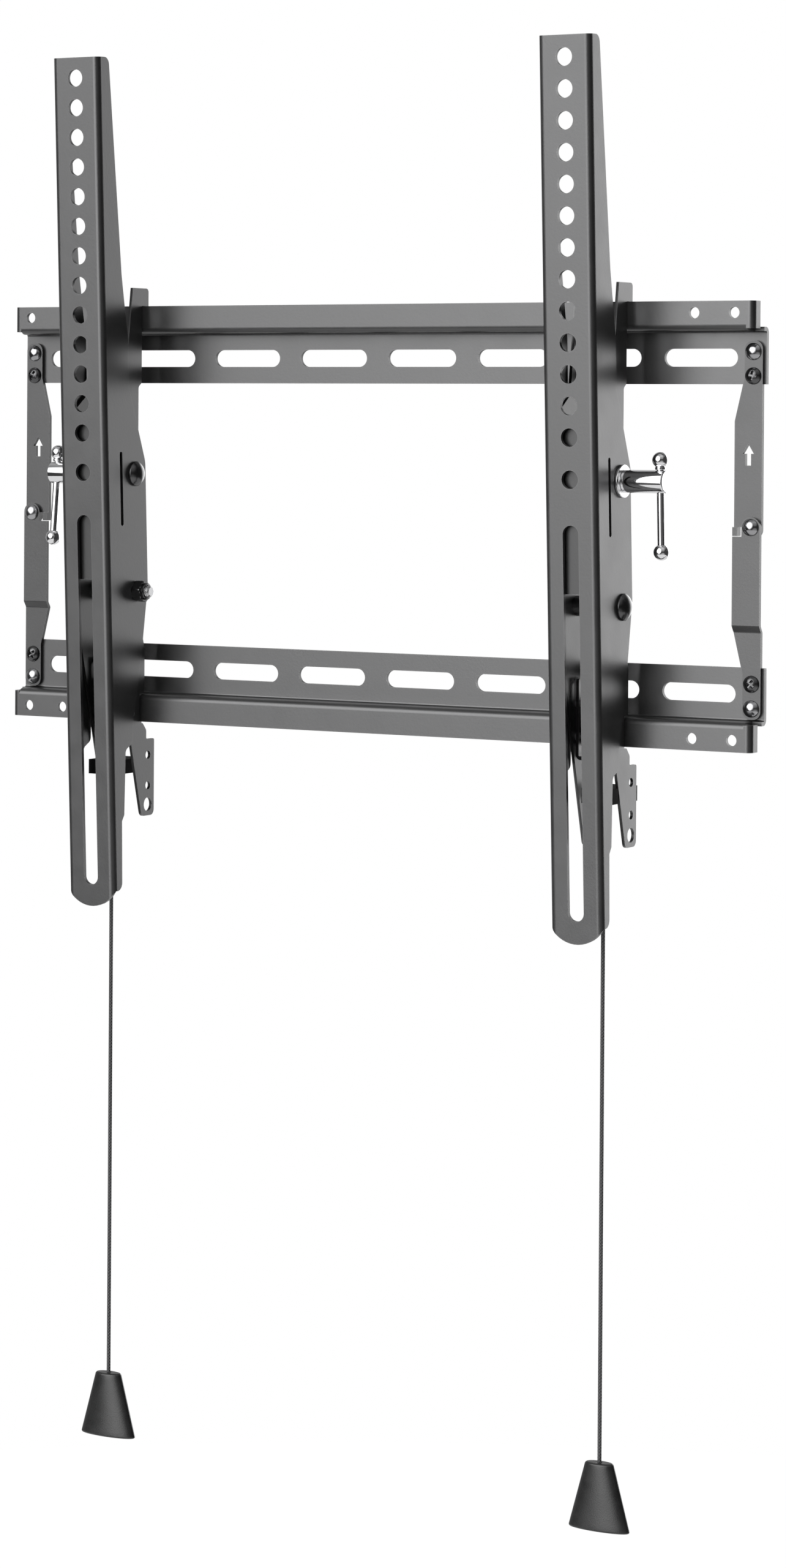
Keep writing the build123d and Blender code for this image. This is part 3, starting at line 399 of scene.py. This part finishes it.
def dome_profile(width, height, steps=14):
    """Radius and height of a round head from its top to its seat: a spherical cap over three quarters
    of the height, a small shoulder, then a straight rim."""
    ball = cap_ball(width, CROWN_SHARE * height)
    bend = np.linspace(POLE_ANGLE, math.asin(width / 2 / ball), steps)
    rim = width / 2 + RIM_SWELL
    radius = np.append(ball * np.sin(bend), [rim, rim, width / 2 - SEAT_EDGE])
    level = np.append(height - ball * (1 - np.cos(bend)), [RIM_TOP * height, RIM_FOOT * height, 0.0])
    return radius, level


black_nickel = skin("bright_black_nickel", (0.36, 0.36, 0.37), (0.42, 0.42, 0.43), (0.13, 0.2), 700.0, 0.1,
                    Metallic=1.0)
rivets = []
for rivet_side in (-1, 1):
    for rivet_z, seat_y, tail_y, tailed in (
        (UPPER_RIVET_Z, LINK_FRONT, 0.0, False),
        (LOWER_RIVET_Z, LINK_FRONT, 0.0, False),
        (HINGE_Z, LAP_FRONT, LINK_BACK, True),
    ):
        head_r, head_h = dome_profile(RIVET_HEAD, RIVET_RISE)
        foot = seat_y - tail_y
        shank_r, shank_h = [RIVET_SHANK, RIVET_SHANK], [0.0, foot]
        if tailed:
            shank_r += [TAIL, TAIL, TAIL_FACE]
            shank_h += [foot, foot - TAIL_SIDE, foot - TAIL_DEPTH]
        radius = np.concatenate([head_r, shank_r])[:, None] * np.ones(HEAD_SIDES)
        level = np.concatenate([head_h, shank_h])[:, None]
        rivets.append(turned(radius, level, (rivet_side * RIVET_X, seat_y, rivet_z), (0, -1, 0)))
piece("dome_rivets", rivets, black_nickel, "black_fastener", "wall_plate", "link_rivets")

# Link screws: four cross-head steel screws with low round heads, in black oxide, driven through the links
# into the rails once the plate is unfolded, so their crosses stand at different angles.
UPPER_SCREW_Z, LOWER_SCREW_Z = 0.0715, -0.0751
SCREW_HEAD, SCREW_RISE, SCREW_RIM, SCREW_SHANK, SCREW_LENGTH = 0.008, 0.0026, 0.0003, 0.002, 0.004
CROSS_ARM, CROSS_HALF, CROSS_DEPTH, CROSS_HOLLOW = 0.0023, 0.00055, 0.0015, 0.5
CROSS_SIDE_SLOPE, CROSS_END_SLOPE = 0.0002, 0.0003
SCREW_RINGS, SCREW_SIDES, SCREW_POLE = 40, 120, 0.00005


def cross_head(twist):
    """Height of a low round head over its radius and angle: a spherical cap, less a cross turned by the
    twist, whose depth falls from the middle to half at the ends of its arms."""
    ball = cap_ball(SCREW_HEAD, CROWN_SHARE * SCREW_RISE)
    radius = np.linspace(SCREW_POLE, SCREW_HEAD / 2, SCREW_RINGS)[:, None] * np.ones(SCREW_SIDES)
    angle = twist + np.linspace(0.0, 2 * np.pi, SCREW_SIDES, endpoint=False)
    u, v = np.abs(radius * np.cos(angle)), np.abs(radius * np.sin(angle))
    along, aside = np.maximum(u, v), np.minimum(u, v)
    inside = np.clip((CROSS_HALF - aside) / CROSS_SIDE_SLOPE + 0.5, 0, 1)
    inside = inside * np.clip((CROSS_ARM - along) / CROSS_END_SLOPE + 0.5, 0, 1)
    level = SCREW_RISE - ball + np.sqrt(ball ** 2 - radius ** 2)
    return radius, level - CROSS_DEPTH * inside * (1.0 - CROSS_HOLLOW * (along / CROSS_ARM) ** 2)


black_oxide = skin("black_oxide", (0.10, 0.10, 0.102), (0.13, 0.13, 0.132), (0.2, 0.28), 700.0, 0.12,
                   Metallic=1.0)
foot_r = np.array([SCREW_HEAD / 2 + RIM_SWELL, SCREW_HEAD / 2 - SEAT_EDGE, SCREW_SHANK, SCREW_SHANK])
foot_h = np.array([SCREW_RIM, 0.0, 0.0, -SCREW_LENGTH])
screws = []
for screw_x, screw_z, twist in ((-RIVET_X, UPPER_SCREW_Z, 0.5), (RIVET_X, UPPER_SCREW_Z, 0.2),
                                (-RIVET_X, LOWER_SCREW_Z, 0.9), (RIVET_X, LOWER_SCREW_Z, 0.65)):
    head_r, head_h = cross_head(twist)
    radius = np.concatenate([head_r, foot_r[:, None] * np.ones(SCREW_SIDES)])
    level = np.concatenate([head_h, foot_h[:, None] * np.ones(SCREW_SIDES)])
    screws.append(turned(radius, level, (screw_x, LINK_FRONT, screw_z), (0, -1, 0)))
piece("cross_screws", screws, black_oxide, "black_fastener", "wall_plate", "link_screws")

# Hook brackets: a folded channel behind each arm, hooked over the upper lip and bearing on the lower one,
# coated like the rails, with painted shade darkening the inside of the channel, and with zinc-plated pins
# and a spacer tube across it and a moulded guide in its tab.
ARM_X = {"left": -0.1447, "right": 0.1344}
# The coat within half the channel's width of the arm's middle is darkened: painted shade.
CHANNEL_HALF, PAINTED_SHADE_SHARE = 0.011, 0.65


def channel_coat_with_painted_shade(name, middle):
    """Powder coat darkened inside a channel as painted shade, standing in for the shadow there: its colour is
    multiplied by a share below one within half the channel's width of its middle plane."""
    finish = powder(name, 1.0)
    tree = finish.node_tree
    base = tree.nodes["Principled BSDF"].inputs["Base Color"]
    place = tree.nodes.new("ShaderNodeTexCoord")
    parts = tree.nodes.new("ShaderNodeSeparateXYZ")
    tree.links.new(place.outputs["Object"], parts.inputs["Vector"])
    # Painted shade: the base colour inside the channel is multiplied down to stand in for the shadow there.
    inside = worked(tree, "COMPARE", parts.outputs["X"], middle, CHANNEL_HALF)
    painted_shade_grey = (PAINTED_SHADE_SHARE, PAINTED_SHADE_SHARE, PAINTED_SHADE_SHARE)
    tree.links.new(blended(tree, inside, base.links[0].from_socket, painted_shade_grey, "MULTIPLY"), base)
    return finish


zinc = skin("zinc_plate", (0.5, 0.5, 0.51), (0.6, 0.6, 0.61), (0.24, 0.36), 600.0, 0.2, (0.66, 0.66, 0.66),
            Metallic=1.0)
nylon = skin("black_nylon", (0.012, 0.012, 0.0122), (0.016, 0.016, 0.0162), (0.7, 0.8), 1200.0, 0.3,
             Specular_IOR_Level=0.05)
for arm in ("left", "right"):
    dress(channel_coat_with_painted_shade(f"{arm}_bracket_coat_painted_shade", ARM_X[arm]), f"{arm}_hook_bracket")
    dress(zinc, f"{arm}_pivot_spacer", f"{arm}_latch_pins")
    dress(nylon, f"{arm}_latch_guide")

# Television arms: deep folded channels of coated sheet with a column of screw holes and a long slot,
# leaning out a little on the tilt bolt of the bracket.
for arm in ("left", "right"):
    dress(powder_coat, f"{arm}_tv_arm")

# Tilt bolts: a dome-headed bolt through arm and bracket, its head on the outer side, drawn up by a lock
# nut with a round collar. Both are in black oxide, and the cut end of the thread is bare zinc.
OUTWARD = {"left": -1.0, "right": 1.0}
LEAN = math.radians(2.6)
PIVOT = np.array([0.0, -0.0217, -0.0395])
HALF_ARM = 0.014
BOLT, TILT_HEAD, TILT_RISE, HEAD_STEPS = 0.006, 0.013, 0.0042, 20
THREAD_CUT, THREAD_END, THREAD_TIP = -0.033, -0.0366, 0.0022
THREAD_PITCH, THREAD_DEPTH, THREAD_STEPS = 0.001, 0.3, 60
NUT_FLATS, NUT_TURN, NUT_SIDES = 0.010, 0.2, 96
NUT_CORNERS = ((0.0051, 0.0), (0.0055, 0.0003), (0.0060, 0.0008), (0.0060, 0.0042), (0.0055, 0.0047),
               (0.0050, 0.005))
NUT_COLLAR = ((0.0043, 0.005), (0.0043, 0.0061), (0.0040, 0.0065), (0.0034, 0.0066), (0.0031, 0.0064),
              (0.0031, 0.0))


def on_arm(arm, out, back, rise):
    """Point of an arm drawn upright about its pivot, leaned out: back and rise turn through the lean."""
    y = back * math.cos(LEAN) - rise * math.sin(LEAN)
    z = back * math.sin(LEAN) + rise * math.cos(LEAN)
    return PIVOT + np.array([ARM_X[arm] + OUTWARD[arm] * out, y, z])


def rings(pairs, count):
    """Radius and height arrays of round rings from (radius, height) pairs."""
    pairs = np.asarray(pairs, float)
    return pairs[:, :1] * np.ones(count), pairs[:, 1:] * np.ones(count)


def threaded(start, end, width, pitch, steps):
    """Radius and height of a screw thread: a triangle wave of the pitch that climbs one pitch a turn."""
    height = np.linspace(start, end, steps)[:, None] * np.ones(HEAD_SIDES)
    climb = height / pitch - np.linspace(0.0, 1.0, HEAD_SIDES, endpoint=False)
    wave = np.abs((climb % 1.0) - 0.5) * 2
    return width / 2 - THREAD_DEPTH * pitch * wave, height


def lock_nut():
    """Radius and height of a nut: the smaller of a hexagon, flats over the cosine of the angle from the
    nearest flat, and round corners, and then the round collar and the bore."""
    corner_r, corner_h = rings(NUT_CORNERS, NUT_SIDES)
    collar_r, collar_h = rings(NUT_COLLAR, NUT_SIDES)
    angle = np.linspace(0.0, 2 * np.pi, NUT_SIDES, endpoint=False) + NUT_TURN
    hexagon = NUT_FLATS / 2 / np.cos((angle + np.pi / 6) % (np.pi / 3) - np.pi / 6)
    return np.concatenate([np.minimum(hexagon, corner_r), collar_r]), np.concatenate([corner_h, collar_h])


for arm in ("left", "right"):
    out = np.array([OUTWARD[arm], 0.0, 0.0])
    outer_seat, inner_seat = on_arm(arm, HALF_ARM, 0, 0), on_arm(arm, -HALF_ARM, 0, 0)
    head_r, head_h = dome_profile(TILT_HEAD, TILT_RISE, HEAD_STEPS)
    radius = np.append(head_r, [BOLT / 2, BOLT / 2])[:, None] * np.ones(HEAD_SIDES)
    height = np.append(head_h, [0.0, THREAD_CUT])[:, None]
    piece(f"{arm}_tilt_bolt", [turned(radius, height, outer_seat, out)], black_oxide,
          "black_fastener", f"{arm}_arm", f"{arm}_pivot_bolt")
    thread_r, thread_h = threaded(THREAD_CUT, THREAD_END, BOLT, THREAD_PITCH, THREAD_STEPS)
    thread_r = np.minimum(thread_r, THREAD_TIP + (thread_h - THREAD_END))
    piece(f"{arm}_stud_end", [turned(thread_r, thread_h, outer_seat, out)],
          zinc, "plain_steel", f"{arm}_arm")
    piece(f"{arm}_lock_nut", [turned(*lock_nut(), inner_seat, -out, ring=True)], black_oxide,
          "black_fastener", f"{arm}_arm", f"{arm}_pivot_nut")

# Tilt clamps: a dome-headed bolt in black oxide from the inner side. On the outer side a washer and the
# turned barrel of a T-handle, with a sliding cross bar between two balls, are polished and chromed.
CLAMP_BACK, CLAMP_RISE = 0.0005, 0.0604
CLAMP_HEAD, CLAMP_HEAD_RISE = 0.0125, 0.0044
CLAMP_SHANK_END, CLAMP_END, CLAMP_TIP = -0.0428, -0.0432, 0.0026
WASHER_BORE, WASHER_FACE, WASHER_EDGE, WASHER_THICK = 0.0031, 0.0076, 0.0004, 0.00154
BARREL_START, BARREL_LENGTH, BARREL = 0.0156, 0.022, 0.011
BARREL_BORE, BORE_DEPTH, INNER_EDGE, OUTER_EDGE, BARREL_POLE = 0.00306, 0.014, 0.0005, 0.0008, 0.00001
BAR_OUT, BAR_REST, BAR_LENGTH, BAR, BALL = 0.0346, 0.01035, 0.044, 0.0036, 0.0077
BAR_EDGE, BAR_COLLAR, COLLAR_BELOW_BALL, COLLAR_SIDE = 0.0003, 0.0052, 0.0007, 0.0006
HANDLE_TURN = {"left": math.radians(-8.6), "right": 0.0}
CHROME_SIDES = 56


def arc(centre_r, centre_h, size, start, end, steps=8):
    """(radius, height) pairs on an arc of that size between two angles in degrees."""
    bend = np.radians(np.linspace(start, end, steps))
    return np.stack([centre_r + size * np.cos(bend), centre_h + size * np.sin(bend)], axis=1).tolist()


chrome = skin("polished_chrome", (0.80, 0.80, 0.81), (0.86, 0.86, 0.87), (0.04, 0.09), 260.0, 0.03,
              Metallic=1.0)
washer = [(WASHER_BORE, 0.0), *arc(WASHER_FACE, WASHER_EDGE, WASHER_EDGE, -90, 0),
          *arc(WASHER_FACE, WASHER_THICK - WASHER_EDGE, WASHER_EDGE, 0, 90), (WASHER_BORE, WASHER_THICK)]
barrel = [(BARREL_POLE, BORE_DEPTH), (BARREL_BORE, BORE_DEPTH), (BARREL_BORE, 0.0),
          *arc(BARREL / 2 - INNER_EDGE, INNER_EDGE, INNER_EDGE, -90, 0),
          *arc(BARREL / 2 - OUTER_EDGE, BARREL_LENGTH - OUTER_EDGE, OUTER_EDGE, 0, 90, 12),
          (BARREL_POLE, BARREL_LENGTH)]
collar_foot = BAR_LENGTH - BALL / 2 - COLLAR_BELOW_BALL
collar_r, collar_h = BAR_COLLAR / 2 - BAR_EDGE, collar_foot + BAR_EDGE
bar = [(BAR / 2 - BAR_EDGE, 0.0), (BAR / 2, BAR_EDGE), (BAR / 2, collar_foot),
       *arc(collar_r, collar_h, BAR_EDGE, -90, 0, 5),
       *arc(collar_r, collar_h + COLLAR_SIDE, BAR_EDGE, 0, 60, 5),
       *arc(0.0, BAR_LENGTH, BALL / 2, -54, 89, 26)]
ball = [(BAR / 2, 0.0), *arc(0.0, 0.0, BALL / 2, 61, -89, 30)]
for arm in ("left", "right"):
    out = np.array([OUTWARD[arm], 0.0, 0.0])
    steer = LEAN + HANDLE_TURN[arm]
    rise = np.array([0.0, -math.sin(steer), math.cos(steer)])
    head_r, head_h = dome_profile(CLAMP_HEAD, CLAMP_HEAD_RISE, HEAD_STEPS)
    radius = np.append(head_r, [BOLT / 2, BOLT / 2, CLAMP_TIP])[:, None] * np.ones(HEAD_SIDES)
    height = np.append(head_h, [0.0, CLAMP_SHANK_END, CLAMP_END])[:, None]
    piece(f"{arm}_cross_bolt", [turned(radius, height, on_arm(arm, -HALF_ARM, CLAMP_BACK, CLAMP_RISE), -out)],
          black_oxide, "black_fastener", f"{arm}_arm", f"{arm}_clamp_bolt")
    washer_seat = on_arm(arm, HALF_ARM, CLAMP_BACK, CLAMP_RISE)
    piece(f"{arm}_bright_washer", [turned(*rings(washer, CHROME_SIDES), washer_seat, out, ring=True)],
          chrome, "chrome", f"{arm}_arm", f"{arm}_clamp_washer")
    barrel_seat = on_arm(arm, BARREL_START, CLAMP_BACK, CLAMP_RISE)
    piece(f"{arm}_handle_barrel", [turned(*rings(barrel, CHROME_SIDES), barrel_seat, out)],
          chrome, "chrome", f"{arm}_clamp", f"{arm}_clamp_barrel")
    bar_foot = on_arm(arm, BAR_OUT, CLAMP_BACK, CLAMP_RISE) + (BAR_REST - BAR_LENGTH) * rise
    piece(f"{arm}_cross_bar", [turned(*rings(bar, CHROME_SIDES), bar_foot, rise)],
          chrome, "chrome", f"{arm}_bar", f"{arm}_tommy_bar")
    piece(f"{arm}_bar_ball", [turned(*rings(ball, CHROME_SIDES), bar_foot, rise)],
          chrome, "chrome", f"{arm}_bar", f"{arm}_end_ball")

# Latches: a small folded slide inside each bracket, coated black, that springs up behind the lower lip.
# Its plain wire spring stands round the cord on the guide, and is pressed short when the cord is pulled.
CORD_X = {"left": -0.1476, "right": 0.1373}
CORD_Y = -0.0186
SEAT_Z, LATCH_Z, LATCH_TRAVEL = -0.1276, -0.1135, 0.008
COIL, WIRE, COIL_TURNS = 0.00305, 0.00045, 5.0
COIL_STEPS, WIRE_SIDES = 241, 12
CLOSED_TURN, CLOSED_RISE = 0.12, 0.05


def coil_spring(low, high):
    """Rings round a helix: the middle goes round a circle and climbs from low to high, slowly over the
    closed turns at both ends, and each ring is a circle in the outward and upward directions."""
    along = np.linspace(0.0, 1.0, COIL_STEPS)
    swing = 2 * np.pi * COIL_TURNS * along
    climb = np.interp(along, [0.0, CLOSED_TURN, 1 - CLOSED_TURN, 1.0],
                      [0.0, CLOSED_RISE, 1 - CLOSED_RISE, 1.0])
    middle = np.stack([COIL * np.cos(swing), COIL * np.sin(swing), low + (high - low) * climb], axis=1)
    outwards = np.stack([np.cos(swing), np.sin(swing), np.zeros_like(swing)], axis=1)
    upwards = np.array([0.0, 0.0, 1.0])
    bend = np.linspace(0.0, 2 * np.pi, WIRE_SIDES, endpoint=False)[None, :, None]
    return middle[:, None, :] + WIRE * np.cos(bend) * outwards[:, None, :] + WIRE * np.sin(bend) * upwards


for arm in ("left", "right"):
    dress(powder_coat, f"{arm}_latch")
    points = coil_spring(SEAT_Z + WIRE, LATCH_Z - WIRE) + np.array([CORD_X[arm], CORD_Y, 0.0])
    coil = piece(f"{arm}_coil_spring", [skinned(points)], zinc, "plain_steel", f"{arm}_bracket",
                 f"{arm}_latch_spring")
    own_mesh(coil)

# Release cords: 2 mm braided black cord, crimped in a steel ferrule on the latch's floor, hanging straight
# down through the guide into a moulded grip, where a fused knot holds it.
CORD = 0.002
CORD_TOP = -0.108
GUIDE_FOOT = -0.134
CORD_END = {"left": -0.458, "right": -0.466}
STRANDS, BRAID_PITCH, BRAID_DEPTH, BRAID_RELIEF = 4.0, 0.0016, 0.0002, 0.6
BRAID_LOW, BRAID_DARK, BRAID_LIGHT = -0.2, (0.018, 0.018, 0.019), (0.075, 0.075, 0.077)
BRAID_ROUGH, BRAID_SHEEN = (0.75, 0.5), 0.25
FERRULE, FERRULE_BORE, FERRULE_HEIGHT, FERRULE_FOOT, FERRULE_STEPS = 0.0022, 0.00102, 0.004, -0.112, 21
DENT_DEPTH, DENT_APART, DENT_WIDTH = 0.00022, 0.0008, 0.0003
CORD_SIDES = 36
GRIP_TOP = {"left": -0.444, "right": -0.452}
GRIP_HEIGHT, GRIP_EDGE = 0.0325, 0.0011
GRIP_FOOT_WIDE, GRIP_TOP_WIDE, GRIP_FOOT_DEEP, GRIP_TOP_DEEP = 0.0165, 0.0074, 0.00525, 0.0038
GRIP_RINGS, GRIP_EDGE_RINGS, GRIP_SIDES = 18, 9, 72
GRIP_BORE = ((0.0019, GRIP_HEIGHT), (0.0014, GRIP_HEIGHT - 0.0001), (0.00105, GRIP_HEIGHT - 0.0006),
             (0.00105, 0.0186), (0.0025, 0.0185), (0.0025, 0.0004), (0.0028, 0.0))
KNOT, KNOT_HALF, KNOT_DROP, KNOT_RINGS = 0.0021, 0.0022, 0.0012, 17
KNOT_LOBES, KNOT_SWELL, KNOT_TWIST, KNOT_POLE = 3, 0.12, 2.5, 1.0001


def braid(name, centre_x):
    """Braid of two sets of strands that wind opposite ways: the height is the larger of two sine waves
    of the angle round the cord plus and minus the length along it."""
    finish = bpy.data.materials.new(name)
    finish.use_nodes = True
    tree = finish.node_tree
    surface = tree.nodes["Principled BSDF"]
    surface.inputs["Sheen Weight"].default_value = BRAID_SHEEN
    place = tree.nodes.new("ShaderNodeTexCoord")
    centred = tree.nodes.new("ShaderNodeMapping")
    centred.inputs["Location"].default_value = (-centre_x, -CORD_Y, 0.0)
    tree.links.new(place.outputs["Object"], centred.inputs["Vector"])
    parts = tree.nodes.new("ShaderNodeSeparateXYZ")
    tree.links.new(centred.outputs["Vector"], parts.inputs["Vector"])
    angle = worked(tree, "ARCTAN2", parts.outputs["Y"], parts.outputs["X"])
    angle = worked(tree, "MULTIPLY", angle, STRANDS)
    length = worked(tree, "MULTIPLY", parts.outputs["Z"], 2 * math.pi / BRAID_PITCH)
    strands = [worked(tree, "SINE", worked(tree, wind, angle, length)) for wind in ("ADD", "SUBTRACT")]
    weave = worked(tree, "MAXIMUM", *strands)
    colour = blended(tree, ranged(tree, weave, BRAID_LOW, 1.0), BRAID_DARK, BRAID_LIGHT)
    tree.links.new(colour, surface.inputs["Base Color"])
    tree.links.new(ranged(tree, weave, 0.0, 1.0, *BRAID_ROUGH), surface.inputs["Roughness"])
    tree.links.new(embossed(tree, weave, BRAID_RELIEF, BRAID_DEPTH), surface.inputs["Normal"])
    return finish


def ferrule():
    """Radius and height of a crimped tube: a straight side less two rings of dents, each a bell curve of
    the distance from its middle, and then the bore."""
    level = np.linspace(0.0, FERRULE_HEIGHT, FERRULE_STEPS)
    off_dent = (np.abs(level - FERRULE_HEIGHT / 2) - DENT_APART) / DENT_WIDTH
    radius = FERRULE - DENT_DEPTH * np.exp(-off_dent ** 2)
    radius = np.concatenate([[FERRULE_BORE], radius, [FERRULE_BORE]])
    level = np.concatenate([[0.0], level, [FERRULE_HEIGHT]]) + FERRULE_FOOT
    return radius[:, None] * np.ones(CORD_SIDES), level[:, None] * np.ones(CORD_SIDES)


def grip_shell():
    """Rings of an oval bell from its foot up and then down its round bore: half width and half depth
    shrink evenly with the height, less the inset of a quarter round at each end."""
    sweep = np.radians(np.linspace(90, 0, GRIP_EDGE_RINGS))
    lift, inset = GRIP_EDGE * (1 - np.sin(sweep)), GRIP_EDGE * (1 - np.cos(sweep))
    side_level = np.linspace(0.0, GRIP_HEIGHT, GRIP_RINGS + 4)[2:-2]
    level = np.concatenate([lift, side_level, GRIP_HEIGHT - lift[::-1]])
    inset = np.concatenate([inset, np.zeros(GRIP_RINGS), inset[::-1]])
    share = level / GRIP_HEIGHT
    half_width = GRIP_FOOT_WIDE + (GRIP_TOP_WIDE - GRIP_FOOT_WIDE) * share - inset
    half_depth = GRIP_FOOT_DEEP + (GRIP_TOP_DEEP - GRIP_FOOT_DEEP) * share - inset
    bore_r, bore_h = np.array(GRIP_BORE).T
    angle = np.linspace(0.0, 2 * np.pi, GRIP_SIDES, endpoint=False)
    x = np.concatenate([half_width, bore_r])[:, None] * np.cos(angle)
    y = np.concatenate([half_depth, bore_r])[:, None] * np.sin(angle)
    z = np.concatenate([level, bore_h])[:, None] * np.ones(GRIP_SIDES)
    return np.stack([x, y, z], axis=-1)


def knot(middle):
    """Radius and height of a knot: a ball, just open at its poles, whose radius swells in lobes that
    twist with the height."""
    bulge = np.linspace(-1.0, 1.0, KNOT_RINGS)[:, None]
    swirl = np.linspace(0.0, 2 * np.pi, CORD_SIDES, endpoint=False)
    swell = 1 + KNOT_SWELL * np.cos(KNOT_LOBES * swirl + KNOT_TWIST * bulge)
    radius = KNOT * np.sqrt(KNOT_POLE - bulge ** 2) * swell
    return radius, middle + KNOT_HALF * bulge * np.ones(CORD_SIDES)


moulding = skin("moulded_black_plastic", (0.008, 0.0081, 0.0082), (0.011, 0.0111, 0.0112), (0.3, 0.38),
                1500.0, 0.35, (0.03, 0.03, 0.03), Specular_IOR_Level=0.65)
for arm in ("left", "right"):
    at = np.array([CORD_X[arm], CORD_Y, 0.0])
    braided = braid(f"{arm}_braided_black_cord", CORD_X[arm])
    piece(f"{arm}_crimp", [turned(*ferrule(), at, (0, 0, 1), ring=True)], zinc, "plain_steel",
          f"{arm}_latch", f"{arm}_cord_ferrule")

    line = bpy.data.curves.new(f"{arm}_release_cord", "CURVE")
    line.dimensions = "3D"
    run = line.splines.new("NURBS")
    route = (CORD_TOP, GUIDE_FOOT, GUIDE_FOOT - 6 * CORD,
             GRIP_TOP[arm] + 6 * CORD, GRIP_TOP[arm], CORD_END[arm])
    run.points.add(len(route) - 1)
    for point, z in zip(run.points, route):
        point.co = (CORD_X[arm], CORD_Y, z, 1.0)
    run.order_u = 3
    run.use_endpoint_u = True
    line.resolution_u = 16
    line.bevel_depth = CORD / 2
    line.bevel_resolution = 5
    line.use_fill_caps = True
    line.materials.append(braided)
    cord = bpy.data.objects.new(f"{arm}_release_cord", line)
    scene.collection.objects.link(cord)
    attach(cord, f"{arm}_latch")
    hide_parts(f"{arm}_pull_cord")

    shell = grip_shell() + at + np.array([0.0, 0.0, GRIP_TOP[arm] - GRIP_HEIGHT])
    grip = piece(f"{arm}_pull_grip", [skinned(shell, ring=True)], moulding, "black_plastic", f"{arm}_latch",
                 f"{arm}_cord_pull")
    bead = piece(f"{arm}_cord_knot", [turned(*knot(CORD_END[arm] - KNOT_DROP), at, (0, 0, 1))], braided,
                 "black_cord", f"{arm}_latch")
